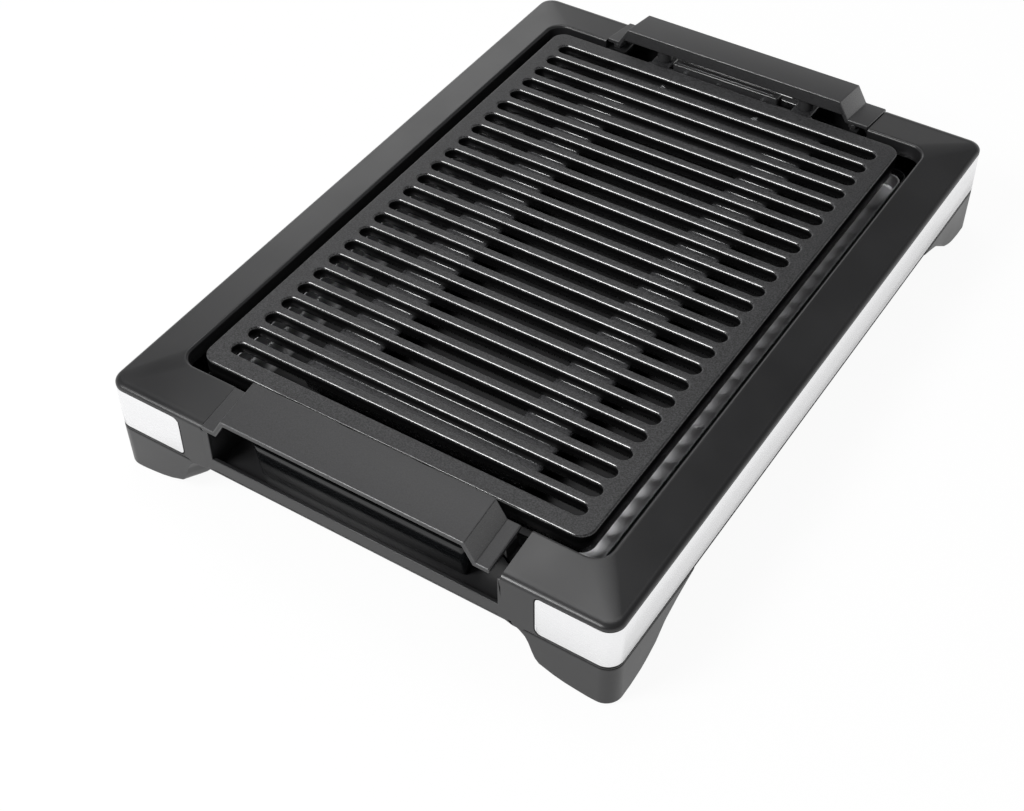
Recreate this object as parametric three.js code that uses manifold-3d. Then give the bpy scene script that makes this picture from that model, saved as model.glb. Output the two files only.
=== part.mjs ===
import * as THREE from 'three';
import Module from 'manifold-3d';
import { mergeVertices } from 'three/addons/utils/BufferGeometryUtils.js';

// Smokeless indoor grill: a cast slotted plate with its heater and handles lifts off a moulded
// base, and the drip tray lifts out after it. Millimetres, +Z up, the front end towards -Y.
// The origin is on the surface that the grill stands on, under the middle of the base.

// Overall sizes
const bodyWidth = 320;
const bodyLength = 450;
const bodyCornerRadius = 9.5;
const bodyBottom = 30.2;
const plateTop = 67.3;
const handleTop = 79;
const fitGap = 0.3;
const overrun = 3;
const weldLap = 0.6;

// Rim and outer wall of the upper housing
const flangeThickness = 1.2;
const wallThickness = 2.4;
const rimSideTop = 59.6;
const shoulderRise = 3.6;
const shoulderInsetSide = 3.2;
const shoulderInsetEnd = 5;
const rimSideWidth = 26.2;
const rimEndWidth = 31.25;
const wellCornerRadius = 10;
const rimInnerTop = 66.9;
const rimLipRadius = 1.8;
const wellSkirtDepth = 10.9;

// End openings under the handles
const openingHalfWidth = 90.5;
const notchHalfWidth = 94.5;
const lipTop = 40;
const notchFloor = 59.9;
const ledgeReach = 9;
const ledgeThickness = 3;
const ledgeTop = 60.5;
const ledgeInset = 17;
const ledgeLength = 12;

// Steel trim strips
const stripThickness = 0.8;
const stripTop = 58.3;
const leftStrip = { end: 111.1, topRadius: 4, bottomRadius: 2.8 };
const rightStrip = { end: 113, topRadius: 2, bottomRadius: 3.3 };

// Base pan and feet
const panThickness = 2.6;
const footBottom = 1;
const footDraft = 3;
const footInnerBulge = 15;
const footChamferDepth = 19;
const footWall = 2.6;
const frontArch = { inset: 36, lowerReach: 11.5, lowerRise: 11, upperReach: 26, power: 2.3 };
const sideArch = { inset: 35, lowerReach: 8, lowerRise: 6, upperReach: 42, power: 1.4 };
const footLevelShares = [0, 0.02, 0.08, 0.17, 0.3, 0.45, 0.6, 0.74, 0.86, 0.95, 1];
const padRadius = 9;
const padHeight = 3;
const padInsetX = 19;
const padInsetY = 19;

// Screws between base pan and upper housing
const housingScrewInsetX = 13.5;
const housingScrewInsetY = 107;
const housingScrewLength = 18;
const screwRadius = 1.7;
const screwHeadRadius = 3.4;
const screwHeadHeight = 2;
const housingBossRadius = 4.5;

// Grill plate
const plateShift = -3;
const plateSideGap = 10;
const plateEndGap = 7.2;
const plateCornerRadius = 9;
const plateSkirtDepth = 13.7;
const plateSkirtThickness = 4.2;
const plateThickness = 8;
const plateEdgeRadius = 1.4;
const skirtDraft = 0.8;
const slotPitch = 14.8;
const slotWidth = 9.2;
const slotEndMargin = 10.6;
const slotFieldMargin = 11.5;
const slotEdgeRadius = 1.2;

// Heater channel cast under the plate
const channelOffset = 61;
const channelWidth = 30.5;
const channelTopDepth = 6.8;
const channelBottom = 47.5;
const channelDraft = 2.5;
const crossRunInset = 23.55;
const crossRunDepth = 32;
const crossRunStep = 0.25;
const legEndInset = 28.55;
const tubeRadius = 4;
const tubeHeight = 53.6;
const tubeBendRadius = 16;

// Terminals at the rear of the plate
const terminalCentre = -8;
const terminalSpacing = 57;
const terminalHeight = 57.5;
const pinRadius = 2.2;
const pinLength = 27;
const insulatorRadius = 4;
const insulatorLength = 5.5;
const insulatorGap = 0.85;
const sleeveOffset = -4;
const sleeveRadius = 2;
const sleeveLength = 40;
const shelfMargin = 15.5;
const shelfDrop = 5;
const shelfThickness = 3.5;
const shelfEndInset = 18;
const guardMargin = 9.5;
const guardInset = 26.5;
const guardDepth = 7;
const guardRise = 5.5;
const guardRidgeHeight = 0.7;
const guardRidgeWidth = 0.9;

// Lugs that carry the handles
const frontLug = { left: -49, right: 27, top: 61.6, endInset: 11 };
const rearEar = { inner: 44.5, outer: 58, top: 61, endInset: 16 };
const lugThickness = 4;

// Handles
const handleDepth = 29.5;
const handleOuterTop = 74.3;
const handleShell = 3;
const plateauHalfWidth = 76.5;
const slopeFootHalfWidth = 83;
const flangeHalfWidth = 90.6;
const flangeDrop = 11;
const crestCut = 1.2;
const handleBossRadius = 5;
const frontScrewOffset = 25;
const rearScrewX = 51.3;
const rearScrewInset = 22.5;
const frontScrewInset = 19;
const handleScrewLength = 12;
const pegOuterInset = 2.6;
const pegWidth = 5;
const pegInset = 0.5;
const handleWallDrop = 9;

// Drip tray and its bright liner
const traySideInset = 32;
const trayEndInset = 36;
const trayCornerRadius = 8;
const trayWall = 1.6;
const trayTop = 50;
const trayDraft = 1.6;
const bayHalfWidth = 69;
const bayEndInset = 8;
const bayCornerRadius = 9;
const frontBayTop = 57;
const rearBayDrop = 3;
const linerFloor = 39;
const linerThickness = 0.8;
const linerTop = 47;
const linerCornerRadius = 6.5;
const linerFlangeWidth = 0.9;
const trayRibWidth = 2;
const trayRibShares = [0.3, 0.765];
const trayRibEndGap = 24;

// How finely round stretches are faceted
const cornerSteps = 6;
const slotSteps = 5;
const roundSides = 20;
const tubeSides = 8;
const mergeTolerance = 1e-4;

// Sizes that follow from the ones above
const halfBodyWidth = bodyWidth / 2;
const halfBodyLength = bodyLength / 2;
const wellWidth = bodyWidth - 2 * rimSideWidth;
const wellLength = bodyLength - 2 * rimEndWidth;
const plateHalfWidth = wellWidth / 2 - plateSideGap;
const plateHalfLength = wellLength / 2 - plateEndGap;
const slotLength = 2 * (plateHalfWidth - slotEndMargin);
const slotField = 2 * (plateHalfLength - slotFieldMargin) - slotWidth;
const slotCount = Math.floor(slotField / slotPitch) + 1;
const crossRunFront = plateHalfLength - crossRunInset;
const crossRunRear = crossRunFront - crossRunDepth;
const crossRunHalfWidth = channelOffset + channelWidth / 2 - crossRunStep;
const legEnd = plateHalfLength - legEndInset;
const insulatorStart = plateHalfLength + insulatorGap;
const shelfHalfWidth = terminalSpacing / 2 + shelfMargin;
const shelfTop = terminalHeight - shelfDrop;
const guardTop = terminalHeight + guardRise;
const rearBayTop = shelfTop - shelfThickness - rearBayDrop;
const shelfEnd = halfBodyLength - shelfEndInset;
const guardHalfWidth = terminalSpacing / 2 + guardMargin;
const guardStart = halfBodyLength - guardInset;
const frontLugEnd = halfBodyLength - frontLug.endInset;
const rearEarEnd = halfBodyLength - rearEar.endInset;
const frontScrewY = halfBodyLength - frontScrewInset;
const rearScrewY = halfBodyLength - rearScrewInset;
const ledgeInner = halfBodyLength - ledgeInset;
const pegOuterOffset = flangeHalfWidth - pegOuterInset;
const housingScrewX = halfBodyWidth - housingScrewInsetX;
const housingScrewY = halfBodyLength - housingScrewInsetY;
const frontArchStart = halfBodyWidth - frontArch.inset;
const sideArchStart = halfBodyLength - sideArch.inset;
const trayHalfWidth = halfBodyWidth - traySideInset;
const trayHalfLength = halfBodyLength - trayEndInset;
const trayRibHalfLength = trayHalfLength - trayRibEndGap;
const bayHalfLength = halfBodyLength - bayEndInset;
const housingBottom = bodyBottom + flangeThickness + fitGap;
const panTop = bodyBottom + panThickness;
const recessDepth = stripThickness + fitGap;
const innerWallInset = recessDepth + wallThickness;
const handleInner = halfBodyLength - handleDepth;
const handleSlope = (handleTop - handleOuterTop) / handleDepth;
const barBottom = plateTop - plateThickness;
const skirtBottom = plateTop - plateSkirtDepth;
const channelTop = plateTop - channelTopDepth;
const trayBottom = panTop + fitGap;
const trayFloor = trayBottom + trayWall;
const frontLugCentre = (frontLug.left + frontLug.right) / 2;

const wasm = await Module();
wasm.setup();

// Solids and their meshes

function toSolid(geometry) {
  const bare = geometry.clone();
  bare.deleteAttribute('normal');
  bare.deleteAttribute('uv');
  const merged = mergeVertices(bare, mergeTolerance);
  const mesh = new wasm.Mesh({
    numProp: 3,
    vertProperties: new Float32Array(merged.attributes.position.array),
    triVerts: new Uint32Array(merged.index.array),
  });
  return new wasm.Manifold(mesh);
}

function toGeometry(solid) {
  const mesh = solid.getMesh();
  const geometry = new THREE.BufferGeometry();
  geometry.setAttribute('position', new THREE.BufferAttribute(mesh.vertProperties, 3));
  geometry.setIndex(new THREE.BufferAttribute(mesh.triVerts, 1));
  geometry.computeVertexNormals();
  return geometry;
}

function joined(solids) {
  return solids.reduce((whole, piece) => whole.add(piece));
}

function cut(solid, cutters) {
  return cutters.reduce((rest, cutter) => rest.subtract(cutter), solid);
}

// Outlines in plan, counter-clockwise

function roundedRectangle(halfWidth, halfLength, radius) {
  const points = [];
  const signs = [[1, 1], [-1, 1], [-1, -1], [1, -1]];
  signs.forEach(([signX, signY], corner) => {
    for (let step = 0; step <= cornerSteps; step += 1) {
      const angle = (corner + step / cornerSteps) * Math.PI / 2;
      const x = signX * (halfWidth - radius) + radius * Math.cos(angle);
      const y = signY * (halfLength - radius) + radius * Math.sin(angle);
      points.push(new THREE.Vector2(x, y));
    }
  });
  return points;
}

function stadium(length, width) {
  const radius = width / 2;
  const straight = length / 2 - radius;
  const points = [];
  for (let end = 0; end < 2; end += 1) {
    for (let step = 0; step <= slotSteps; step += 1) {
      const angle = (end + step / slotSteps - 1 / 2) * Math.PI;
      const centre = end === 0 ? straight : -straight;
      points.push(new THREE.Vector2(centre + radius * Math.cos(angle), radius * Math.sin(angle)));
    }
  }
  return points;
}

function ring(outline, z) {
  return outline.map((point) => new THREE.Vector3(point.x, point.y, z));
}

function rectangleRing(halfWidth, halfLength, radius, z) {
  return ring(roundedRectangle(halfWidth, halfLength, radius), z);
}

// Walls between stacked rings, capped at both ends, or closed on themselves as a hollow frame
function loft(rings, closesOnItself = false) {
  const count = rings[0].length;
  const positions = rings.flat().flatMap((point) => [point.x, point.y, point.z]);
  const indices = [];
  const spans = closesOnItself ? rings.length : rings.length - 1;
  for (let span = 0; span < spans; span += 1) {
    const lower = span * count;
    const upper = ((span + 1) % rings.length) * count;
    for (let step = 0; step < count; step += 1) {
      const next = (step + 1) % count;
      indices.push(lower + step, lower + next, upper + next);
      indices.push(lower + step, upper + next, upper + step);
    }
  }
  if (!closesOnItself) {
    const last = (rings.length - 1) * count;
    const flat = (points) => points.map((point) => new THREE.Vector2(point.x, point.y));
    for (const [a, b, c] of THREE.ShapeUtils.triangulateShape(flat(rings[0]), [])) {
      indices.push(a, c, b);
    }
    for (const [a, b, c] of THREE.ShapeUtils.triangulateShape(flat(rings.at(-1)), [])) {
      indices.push(last + a, last + b, last + c);
    }
  }
  const geometry = new THREE.BufferGeometry();
  geometry.setAttribute('position', new THREE.Float32BufferAttribute(positions, 3));
  geometry.setIndex(indices);
  return toSolid(geometry);
}

// A profile drawn in X and Z, run along Y
function prismAlongY(profile, yStart, yEnd) {
  const shape = new THREE.Shape(profile);
  const settings = { depth: yEnd - yStart, bevelEnabled: false, curveSegments: cornerSteps };
  const geometry = new THREE.ExtrudeGeometry(shape, settings);
  geometry.rotateX(Math.PI / 2);
  geometry.translate(0, yEnd, 0);
  return toSolid(geometry);
}

function box(x0, x1, y0, y1, z0, z1) {
  const geometry = new THREE.BoxGeometry(x1 - x0, y1 - y0, z1 - z0);
  geometry.translate((x0 + x1) / 2, (y0 + y1) / 2, (z0 + z1) / 2);
  return toSolid(geometry);
}

function uprightCylinder(x, y, z0, z1, radius) {
  const geometry = new THREE.CylinderGeometry(radius, radius, z1 - z0, roundSides);
  geometry.rotateX(Math.PI / 2);
  geometry.translate(x, y, (z0 + z1) / 2);
  return toSolid(geometry);
}

function lyingCylinder(x, z, y0, y1, radius) {
  const geometry = new THREE.CylinderGeometry(radius, radius, y1 - y0, roundSides);
  geometry.translate(x, (y0 + y1) / 2, z);
  return toSolid(geometry);
}

// A round rod turned on its own upright axis, from a profile of radius and height
function turned(profile, x, y) {
  const points = profile.map(([radius, z]) => new THREE.Vector2(radius, z));
  const geometry = new THREE.LatheGeometry(points, roundSides);
  geometry.rotateX(Math.PI / 2);
  geometry.translate(x, y, 0);
  return toSolid(geometry);
}

// Upper housing: sloped rim, outer wall, cheeks beside the openings and the low lips

function housingOuterRings() {
  const rings = [
    rectangleRing(halfBodyWidth, halfBodyLength, bodyCornerRadius, housingBottom),
    rectangleRing(halfBodyWidth, halfBodyLength, bodyCornerRadius, rimSideTop),
  ];
  const shoulderSteps = 3;
  for (let step = 1; step <= shoulderSteps; step += 1) {
    const angle = (step / shoulderSteps) * Math.PI / 2;
    const insetShare = 1 - Math.cos(angle);
    const insetX = shoulderInsetSide * insetShare;
    const insetY = shoulderInsetEnd * insetShare;
    const z = rimSideTop + shoulderRise * Math.sin(angle);
    const radius = bodyCornerRadius - insetX;
    rings.push(rectangleRing(halfBodyWidth - insetX, halfBodyLength - insetY, radius, z));
  }
  return rings;
}

function housingInnerRings() {
  const halfWidth = wellWidth / 2;
  const halfLength = wellLength / 2;
  const rings = [];
  const lipSteps = 3;
  for (let step = 0; step <= lipSteps; step += 1) {
    const angle = (step / lipSteps) * Math.PI / 2;
    const out = rimLipRadius * (1 - Math.sin(angle));
    const z = rimInnerTop - rimLipRadius * (1 - Math.cos(angle));
    rings.push(rectangleRing(halfWidth + out, halfLength + out, wellCornerRadius + out, z));
  }
  const skirt = rimInnerTop - wellSkirtDepth;
  const back = wallThickness;
  rings.push(rectangleRing(halfWidth, halfLength, wellCornerRadius, skirt));
  rings.push(rectangleRing(halfWidth + back, halfLength + back, wellCornerRadius + back, skirt));
  const underRim = rimInnerTop - wallThickness - weldLap;
  rings.push(rectangleRing(halfWidth + back, halfLength + back, wellCornerRadius + back, underRim));
  const wallX = halfBodyWidth - innerWallInset;
  const wallY = halfBodyLength - innerWallInset;
  const wallRadius = bodyCornerRadius - innerWallInset;
  const underShoulder = rimSideTop + shoulderRise - wallThickness - weldLap;
  rings.push(rectangleRing(wallX, wallY, wallRadius, underShoulder));
  rings.push(rectangleRing(wallX, wallY, wallRadius, housingBottom));
  return rings;
}

function stripProfile(strip, sign, grow, bottom) {
  const inner = sign * (strip.end - grow);
  const outer = sign * (halfBodyWidth + overrun);
  const top = stripTop + grow;
  const topRadius = strip.topRadius + grow;
  const bottomRadius = strip.bottomRadius + grow;
  const shape = new THREE.Shape();
  shape.moveTo(outer, bottom);
  shape.lineTo(outer, top);
  shape.lineTo(inner + sign * topRadius, top);
  shape.quadraticCurveTo(inner, top, inner, top - topRadius);
  shape.lineTo(inner, bottom + bottomRadius);
  shape.quadraticCurveTo(inner, bottom, inner + sign * bottomRadius, bottom);
  return shape.getPoints(cornerSteps);
}

function wallBand(insetInner, growOuter, z0, z1) {
  const outer = [halfBodyWidth + growOuter, halfBodyLength + growOuter, bodyCornerRadius + growOuter];
  const inner = [halfBodyWidth - insetInner, halfBodyLength - insetInner, bodyCornerRadius - insetInner];
  const rings = [
    rectangleRing(...outer, z0),
    rectangleRing(...outer, z1),
    rectangleRing(...inner, z1),
    rectangleRing(...inner, z0),
  ];
  return loft(rings, true);
}

function stripRecess(strip, sign) {
  const profile = stripProfile(strip, sign, fitGap, housingBottom);
  const reach = halfBodyLength + overrun;
  const window = prismAlongY(profile, -reach, reach);
  const below = sign * (strip.end + strip.bottomRadius);
  const edge = sign * (halfBodyWidth + overrun);
  const left = Math.min(below, edge);
  const right = Math.max(below, edge);
  const open = box(left, right, -reach, reach, housingBottom - overrun, housingBottom + overrun);
  const band = wallBand(recessDepth, overrun, housingBottom - overrun, stripTop + fitGap);
  return band.intersect(window.add(open));
}

function endWebs() {
  const envelope = loft(housingOuterRings());
  const webs = [];
  for (const signX of [-1, 1]) {
    for (const signY of [-1, 1]) {
      const near = signX * openingHalfWidth;
      const far = signX * (notchHalfWidth + wallThickness);
      const start = signY * wellLength / 2;
      const end = signY * (halfBodyLength - weldLap);
      webs.push(box(
        Math.min(near, far), Math.max(near, far),
        Math.min(start, end), Math.max(start, end),
        panTop + fitGap, rimSideTop + shoulderRise - weldLap,
      ));
    }
  }
  return joined(webs).intersect(envelope);
}

function restLedge(signX, signY) {
  const wall = signX * (openingHalfWidth + weldLap);
  const tip = signX * (openingHalfWidth - ledgeReach);
  const root = ledgeTop - ledgeThickness - ledgeReach;
  const profile = [
    new THREE.Vector2(wall, ledgeTop),
    new THREE.Vector2(tip, ledgeTop),
    new THREE.Vector2(tip, ledgeTop - ledgeThickness),
    new THREE.Vector2(wall, root),
  ];
  const near = signY * ledgeInner;
  const far = signY * (ledgeInner + ledgeLength);
  return prismAlongY(profile, Math.min(near, far), Math.max(near, far));
}

function eachCorner(make) {
  const list = [];
  for (const signX of [-1, 1]) {
    for (const signY of [-1, 1]) {
      list.push(make(signX, signY));
    }
  }
  return list;
}

function upperHousing() {
  const shell = loft([...housingOuterRings(), ...housingInnerRings()], true);
  const reach = halfBodyLength + overrun;
  const start = wellLength / 2 - overrun;
  const top = rimInnerTop + overrun;
  const notches = [];
  for (const sign of [-1, 1]) {
    const y0 = Math.min(sign * start, sign * reach);
    const y1 = Math.max(sign * start, sign * reach);
    notches.push(box(-notchHalfWidth, notchHalfWidth, y0, y1, notchFloor, top));
    notches.push(box(-openingHalfWidth, openingHalfWidth, y0, y1, lipTop, top));
  }
  const bossTop = rimInnerTop - wallThickness - weldLap;
  const bosses = eachCorner((signX, signY) => uprightCylinder(
    signX * housingScrewX, signY * housingScrewY, panTop + fitGap, bossTop, housingBossRadius,
  ));
  const bores = eachCorner((signX, signY) => uprightCylinder(
    signX * housingScrewX, signY * housingScrewY, bodyBottom, bodyBottom + housingScrewLength,
    screwRadius + fitGap,
  ));
  const body = cut(joined([shell, endWebs()]), notches);
  const whole = joined([body, ...eachCorner(restLedge), ...bosses]);
  return cut(whole, [stripRecess(leftStrip, -1), stripRecess(rightStrip, 1), ...bores]);
}

function trimStrip(strip, sign) {
  const profile = stripProfile(strip, sign, 0, housingBottom);
  const reach = halfBodyLength + overrun;
  const band = wallBand(stripThickness, 0, housingBottom, stripTop);
  return band.intersect(prismAlongY(profile, -reach, reach));
}

// Base pan with its four hollow feet

function archEdge(arch, start, z) {
  const height = z - footBottom;
  if (height < arch.lowerRise) {
    const share = 1 - height / arch.lowerRise;
    return start - arch.lowerReach * Math.sqrt(1 - share * share);
  }
  const upperRise = bodyBottom + flangeThickness - footBottom - arch.lowerRise;
  const share = Math.min(1, (height - arch.lowerRise) / upperRise);
  const fall = 1 - (1 - share ** arch.power) ** (1 / arch.power);
  return start - arch.lowerReach - arch.upperReach * fall;
}

function footOutline(z, inset, signX, signY) {
  const rise = bodyBottom + flangeThickness - footBottom;
  const draft = footDraft * (1 - (z - footBottom) / rise);
  const outerX = halfBodyWidth - draft - inset;
  const outerY = halfBodyLength - draft - inset;
  const radius = bodyCornerRadius - inset;
  const frontEdge = archEdge(frontArch, frontArchStart, z) + inset;
  const sideEdge = archEdge(sideArch, sideArchStart, z) + inset;
  const points = [];
  for (let step = 0; step <= cornerSteps; step += 1) {
    const angle = (step / cornerSteps) * Math.PI / 2;
    const x = outerX - radius + radius * Math.cos(angle);
    const y = outerY - radius + radius * Math.sin(angle);
    points.push([x, y]);
  }
  points.push([frontEdge, outerY]);
  points.push([frontEdge - footInnerBulge / 2, outerY - footChamferDepth / 4]);
  points.push([frontEdge - footInnerBulge, outerY - footChamferDepth]);
  points.push([outerX - footChamferDepth, sideEdge - footInnerBulge]);
  points.push([outerX - footChamferDepth / 4, sideEdge - footInnerBulge / 2]);
  points.push([outerX, sideEdge]);
  const placed = points.map(([x, y]) => new THREE.Vector2(signX * x, signY * y));
  return signX * signY > 0 ? placed : placed.reverse();
}

function foot(signX, signY, top) {
  const rings = footLevelShares.map((share) => {
    const z = footBottom + share * (top - footBottom);
    return ring(footOutline(z, 0, signX, signY), z);
  });
  return loft(rings);
}

function padPlace(signX, signY) {
  return [
    signX * (halfBodyWidth - footDraft - padInsetX),
    signY * (halfBodyLength - footDraft - padInsetY),
  ];
}

function basePan() {
  const stepX = halfBodyWidth - innerWallInset - fitGap;
  const stepY = halfBodyLength - innerWallInset - fitGap;
  const stepRadius = bodyCornerRadius - innerWallInset - fitGap;
  const flangeTop = bodyBottom + flangeThickness;
  const plate = loft([
    rectangleRing(halfBodyWidth, halfBodyLength, bodyCornerRadius, bodyBottom),
    rectangleRing(halfBodyWidth, halfBodyLength, bodyCornerRadius, flangeTop),
    rectangleRing(stepX, stepY, stepRadius, flangeTop),
    rectangleRing(stepX, stepY, stepRadius, panTop),
  ]);
  const feet = eachCorner((signX, signY) => foot(signX, signY, flangeTop));
  const hollowFloor = footBottom + padHeight + footWall;
  const hollows = eachCorner((signX, signY) => {
    const outline = footOutline(hollowFloor, footWall, signX, signY);
    return loft([ring(outline, hollowFloor), ring(outline, panTop + overrun)]);
  });
  const pockets = eachCorner((signX, signY) => {
    const [x, y] = padPlace(signX, signY);
    return uprightCylinder(x, y, footBottom - overrun, padHeight + fitGap, padRadius + fitGap);
  });
  const screwHoles = eachCorner((signX, signY) => uprightCylinder(
    signX * housingScrewX, signY * housingScrewY, bodyBottom - overrun, panTop + overrun,
    screwRadius + fitGap,
  ));
  return cut(joined([plate, ...feet]), [...hollows, ...pockets, ...screwHoles]);
}

function footPad(signX, signY) {
  const [x, y] = padPlace(signX, signY);
  const edge = padHeight / 4;
  return turned([
    [0, 0],
    [padRadius - edge, 0],
    [padRadius, edge],
    [padRadius, padHeight],
    [0, padHeight],
  ], x, y);
}

// A pan-head screw pointing up, its head under the seat
function screw(x, y, seat, length) {
  const headTop = seat - fitGap;
  const headBottom = headTop - screwHeadHeight;
  const tip = seat + length;
  return turned([
    [0, headBottom],
    [screwHeadRadius - screwHeadHeight / 2, headBottom],
    [screwHeadRadius, headTop - screwHeadHeight / 2],
    [screwHeadRadius, headTop],
    [screwRadius, headTop],
    [screwRadius, tip - screwRadius],
    [0, tip],
  ], x, y);
}

// Cast grill plate

function plateBlock() {
  const x = plateHalfWidth;
  const y = plateHalfLength;
  const rings = [
    rectangleRing(x - skirtDraft, y - skirtDraft, plateCornerRadius - skirtDraft, skirtBottom),
    rectangleRing(x, y, plateCornerRadius, plateTop - plateEdgeRadius),
  ];
  const edgeSteps = 2;
  for (let step = 1; step <= edgeSteps; step += 1) {
    const angle = (step / edgeSteps) * Math.PI / 2;
    const inset = plateEdgeRadius * (1 - Math.cos(angle));
    const z = plateTop - plateEdgeRadius * (1 - Math.sin(angle));
    rings.push(rectangleRing(x - inset, y - inset, plateCornerRadius - inset, z));
  }
  return loft(rings);
}

function plateUnderside() {
  const inset = plateSkirtThickness;
  const x = plateHalfWidth - inset;
  const y = plateHalfLength - inset;
  const radius = plateCornerRadius - inset;
  return loft([
    rectangleRing(x, y, radius, skirtBottom - overrun),
    rectangleRing(x - skirtDraft, y - skirtDraft, radius, barBottom),
  ]);
}

function slotCutter(index) {
  const y = (index - (slotCount - 1) / 2) * slotPitch;
  const rings = [];
  const levels = [
    [0, barBottom - overrun],
    [0, plateTop - slotEdgeRadius],
    [slotEdgeRadius * (1 - Math.SQRT1_2), plateTop - slotEdgeRadius * (1 - Math.SQRT1_2)],
    [slotEdgeRadius, plateTop],
    [slotEdgeRadius, plateTop + overrun],
  ];
  levels.forEach(([grow, z]) => {
    const outline = stadium(slotLength + 2 * grow, slotWidth + 2 * grow);
    rings.push(outline.map((point) => new THREE.Vector3(point.x, point.y + y, z)));
  });
  return loft(rings);
}

function channelRun(x0, x1, y0, y1) {
  const draft = channelDraft;
  const corners = (inset) => [
    new THREE.Vector2(x0 + inset, y0 + inset),
    new THREE.Vector2(x1 - inset, y0 + inset),
    new THREE.Vector2(x1 - inset, y1 - inset),
    new THREE.Vector2(x0 + inset, y1 - inset),
  ];
  return loft([ring(corners(draft), channelBottom), ring(corners(0), channelTop)]);
}

// Path of the heater tube: in at one rear terminal, round the plate and out at the other
function tubePath(endY) {
  const left = terminalCentre - plateShift - terminalSpacing / 2;
  const right = left + terminalSpacing;
  const frontY = -(crossRunFront + crossRunRear) / 2;
  const path = new THREE.CurvePath();
  const point = (x, y, z) => new THREE.Vector3(x, y, z);
  const legStart = plateHalfLength - plateSkirtThickness;
  const legHalf = (legStart + legEnd) / 2;
  const bend = tubeBendRadius;
  const stretches = [
    new THREE.LineCurve3(point(left, endY, terminalHeight), point(left, legStart, terminalHeight)),
    new THREE.CubicBezierCurve3(
      point(left, legStart, terminalHeight), point(left, legHalf, terminalHeight),
      point(-channelOffset, legHalf, tubeHeight), point(-channelOffset, legEnd - bend, tubeHeight),
    ),
    new THREE.LineCurve3(
      point(-channelOffset, legEnd - bend, tubeHeight),
      point(-channelOffset, frontY + bend, tubeHeight),
    ),
    new THREE.QuadraticBezierCurve3(
      point(-channelOffset, frontY + bend, tubeHeight), point(-channelOffset, frontY, tubeHeight),
      point(-channelOffset + bend, frontY, tubeHeight),
    ),
    new THREE.LineCurve3(
      point(-channelOffset + bend, frontY, tubeHeight),
      point(channelOffset - bend, frontY, tubeHeight),
    ),
    new THREE.QuadraticBezierCurve3(
      point(channelOffset - bend, frontY, tubeHeight), point(channelOffset, frontY, tubeHeight),
      point(channelOffset, frontY + bend, tubeHeight),
    ),
    new THREE.LineCurve3(
      point(channelOffset, frontY + bend, tubeHeight),
      point(channelOffset, legEnd - bend, tubeHeight),
    ),
    new THREE.CubicBezierCurve3(
      point(channelOffset, legEnd - bend, tubeHeight), point(channelOffset, legHalf, tubeHeight),
      point(right, legHalf, terminalHeight), point(right, legStart, terminalHeight),
    ),
    new THREE.LineCurve3(point(right, legStart, terminalHeight), point(right, endY, terminalHeight)),
  ];
  stretches.forEach((piece) => path.add(piece));
  return path;
}

// The tube's rings stand square to its path and keep one side up, so that it never twists
function tubeAlong(path, radius) {
  const up = new THREE.Vector3(0, 0, 1);
  const stations = [];
  const bendSteps = 6;
  path.curves.forEach((curve, place) => {
    const steps = curve instanceof THREE.LineCurve3 ? 1 : bendSteps;
    for (let step = 0; step < steps; step += 1) {
      stations.push([curve.getPoint(step / steps), curve.getTangent(step / steps)]);
    }
    if (place === path.curves.length - 1) {
      stations.push([curve.getPoint(1), curve.getTangent(1)]);
    }
  });
  const positions = [];
  const indices = [];
  stations.forEach(([centre, tangent]) => {
    const side = new THREE.Vector3().crossVectors(tangent, up).normalize();
    const top = new THREE.Vector3().crossVectors(side, tangent).normalize();
    for (let step = 0; step < tubeSides; step += 1) {
      const angle = (step + 1 / 2) / tubeSides * Math.PI * 2;
      const point = centre.clone();
      point.addScaledVector(side, radius * Math.cos(angle));
      point.addScaledVector(top, radius * Math.sin(angle));
      positions.push(point.x, point.y, point.z);
    }
  });
  for (let span = 0; span < stations.length - 1; span += 1) {
    for (let step = 0; step < tubeSides; step += 1) {
      const next = (step + 1) % tubeSides;
      const lower = span * tubeSides;
      const upper = lower + tubeSides;
      indices.push(lower + step, upper + next, lower + next);
      indices.push(lower + step, upper + step, upper + next);
    }
  }
  const last = (stations.length - 1) * tubeSides;
  for (let step = 1; step < tubeSides - 1; step += 1) {
    indices.push(0, step, step + 1);
    indices.push(last, last + step + 1, last + step);
  }
  const geometry = new THREE.BufferGeometry();
  geometry.setAttribute('position', new THREE.Float32BufferAttribute(positions, 3));
  geometry.setIndex(indices);
  return toSolid(geometry);
}

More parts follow.
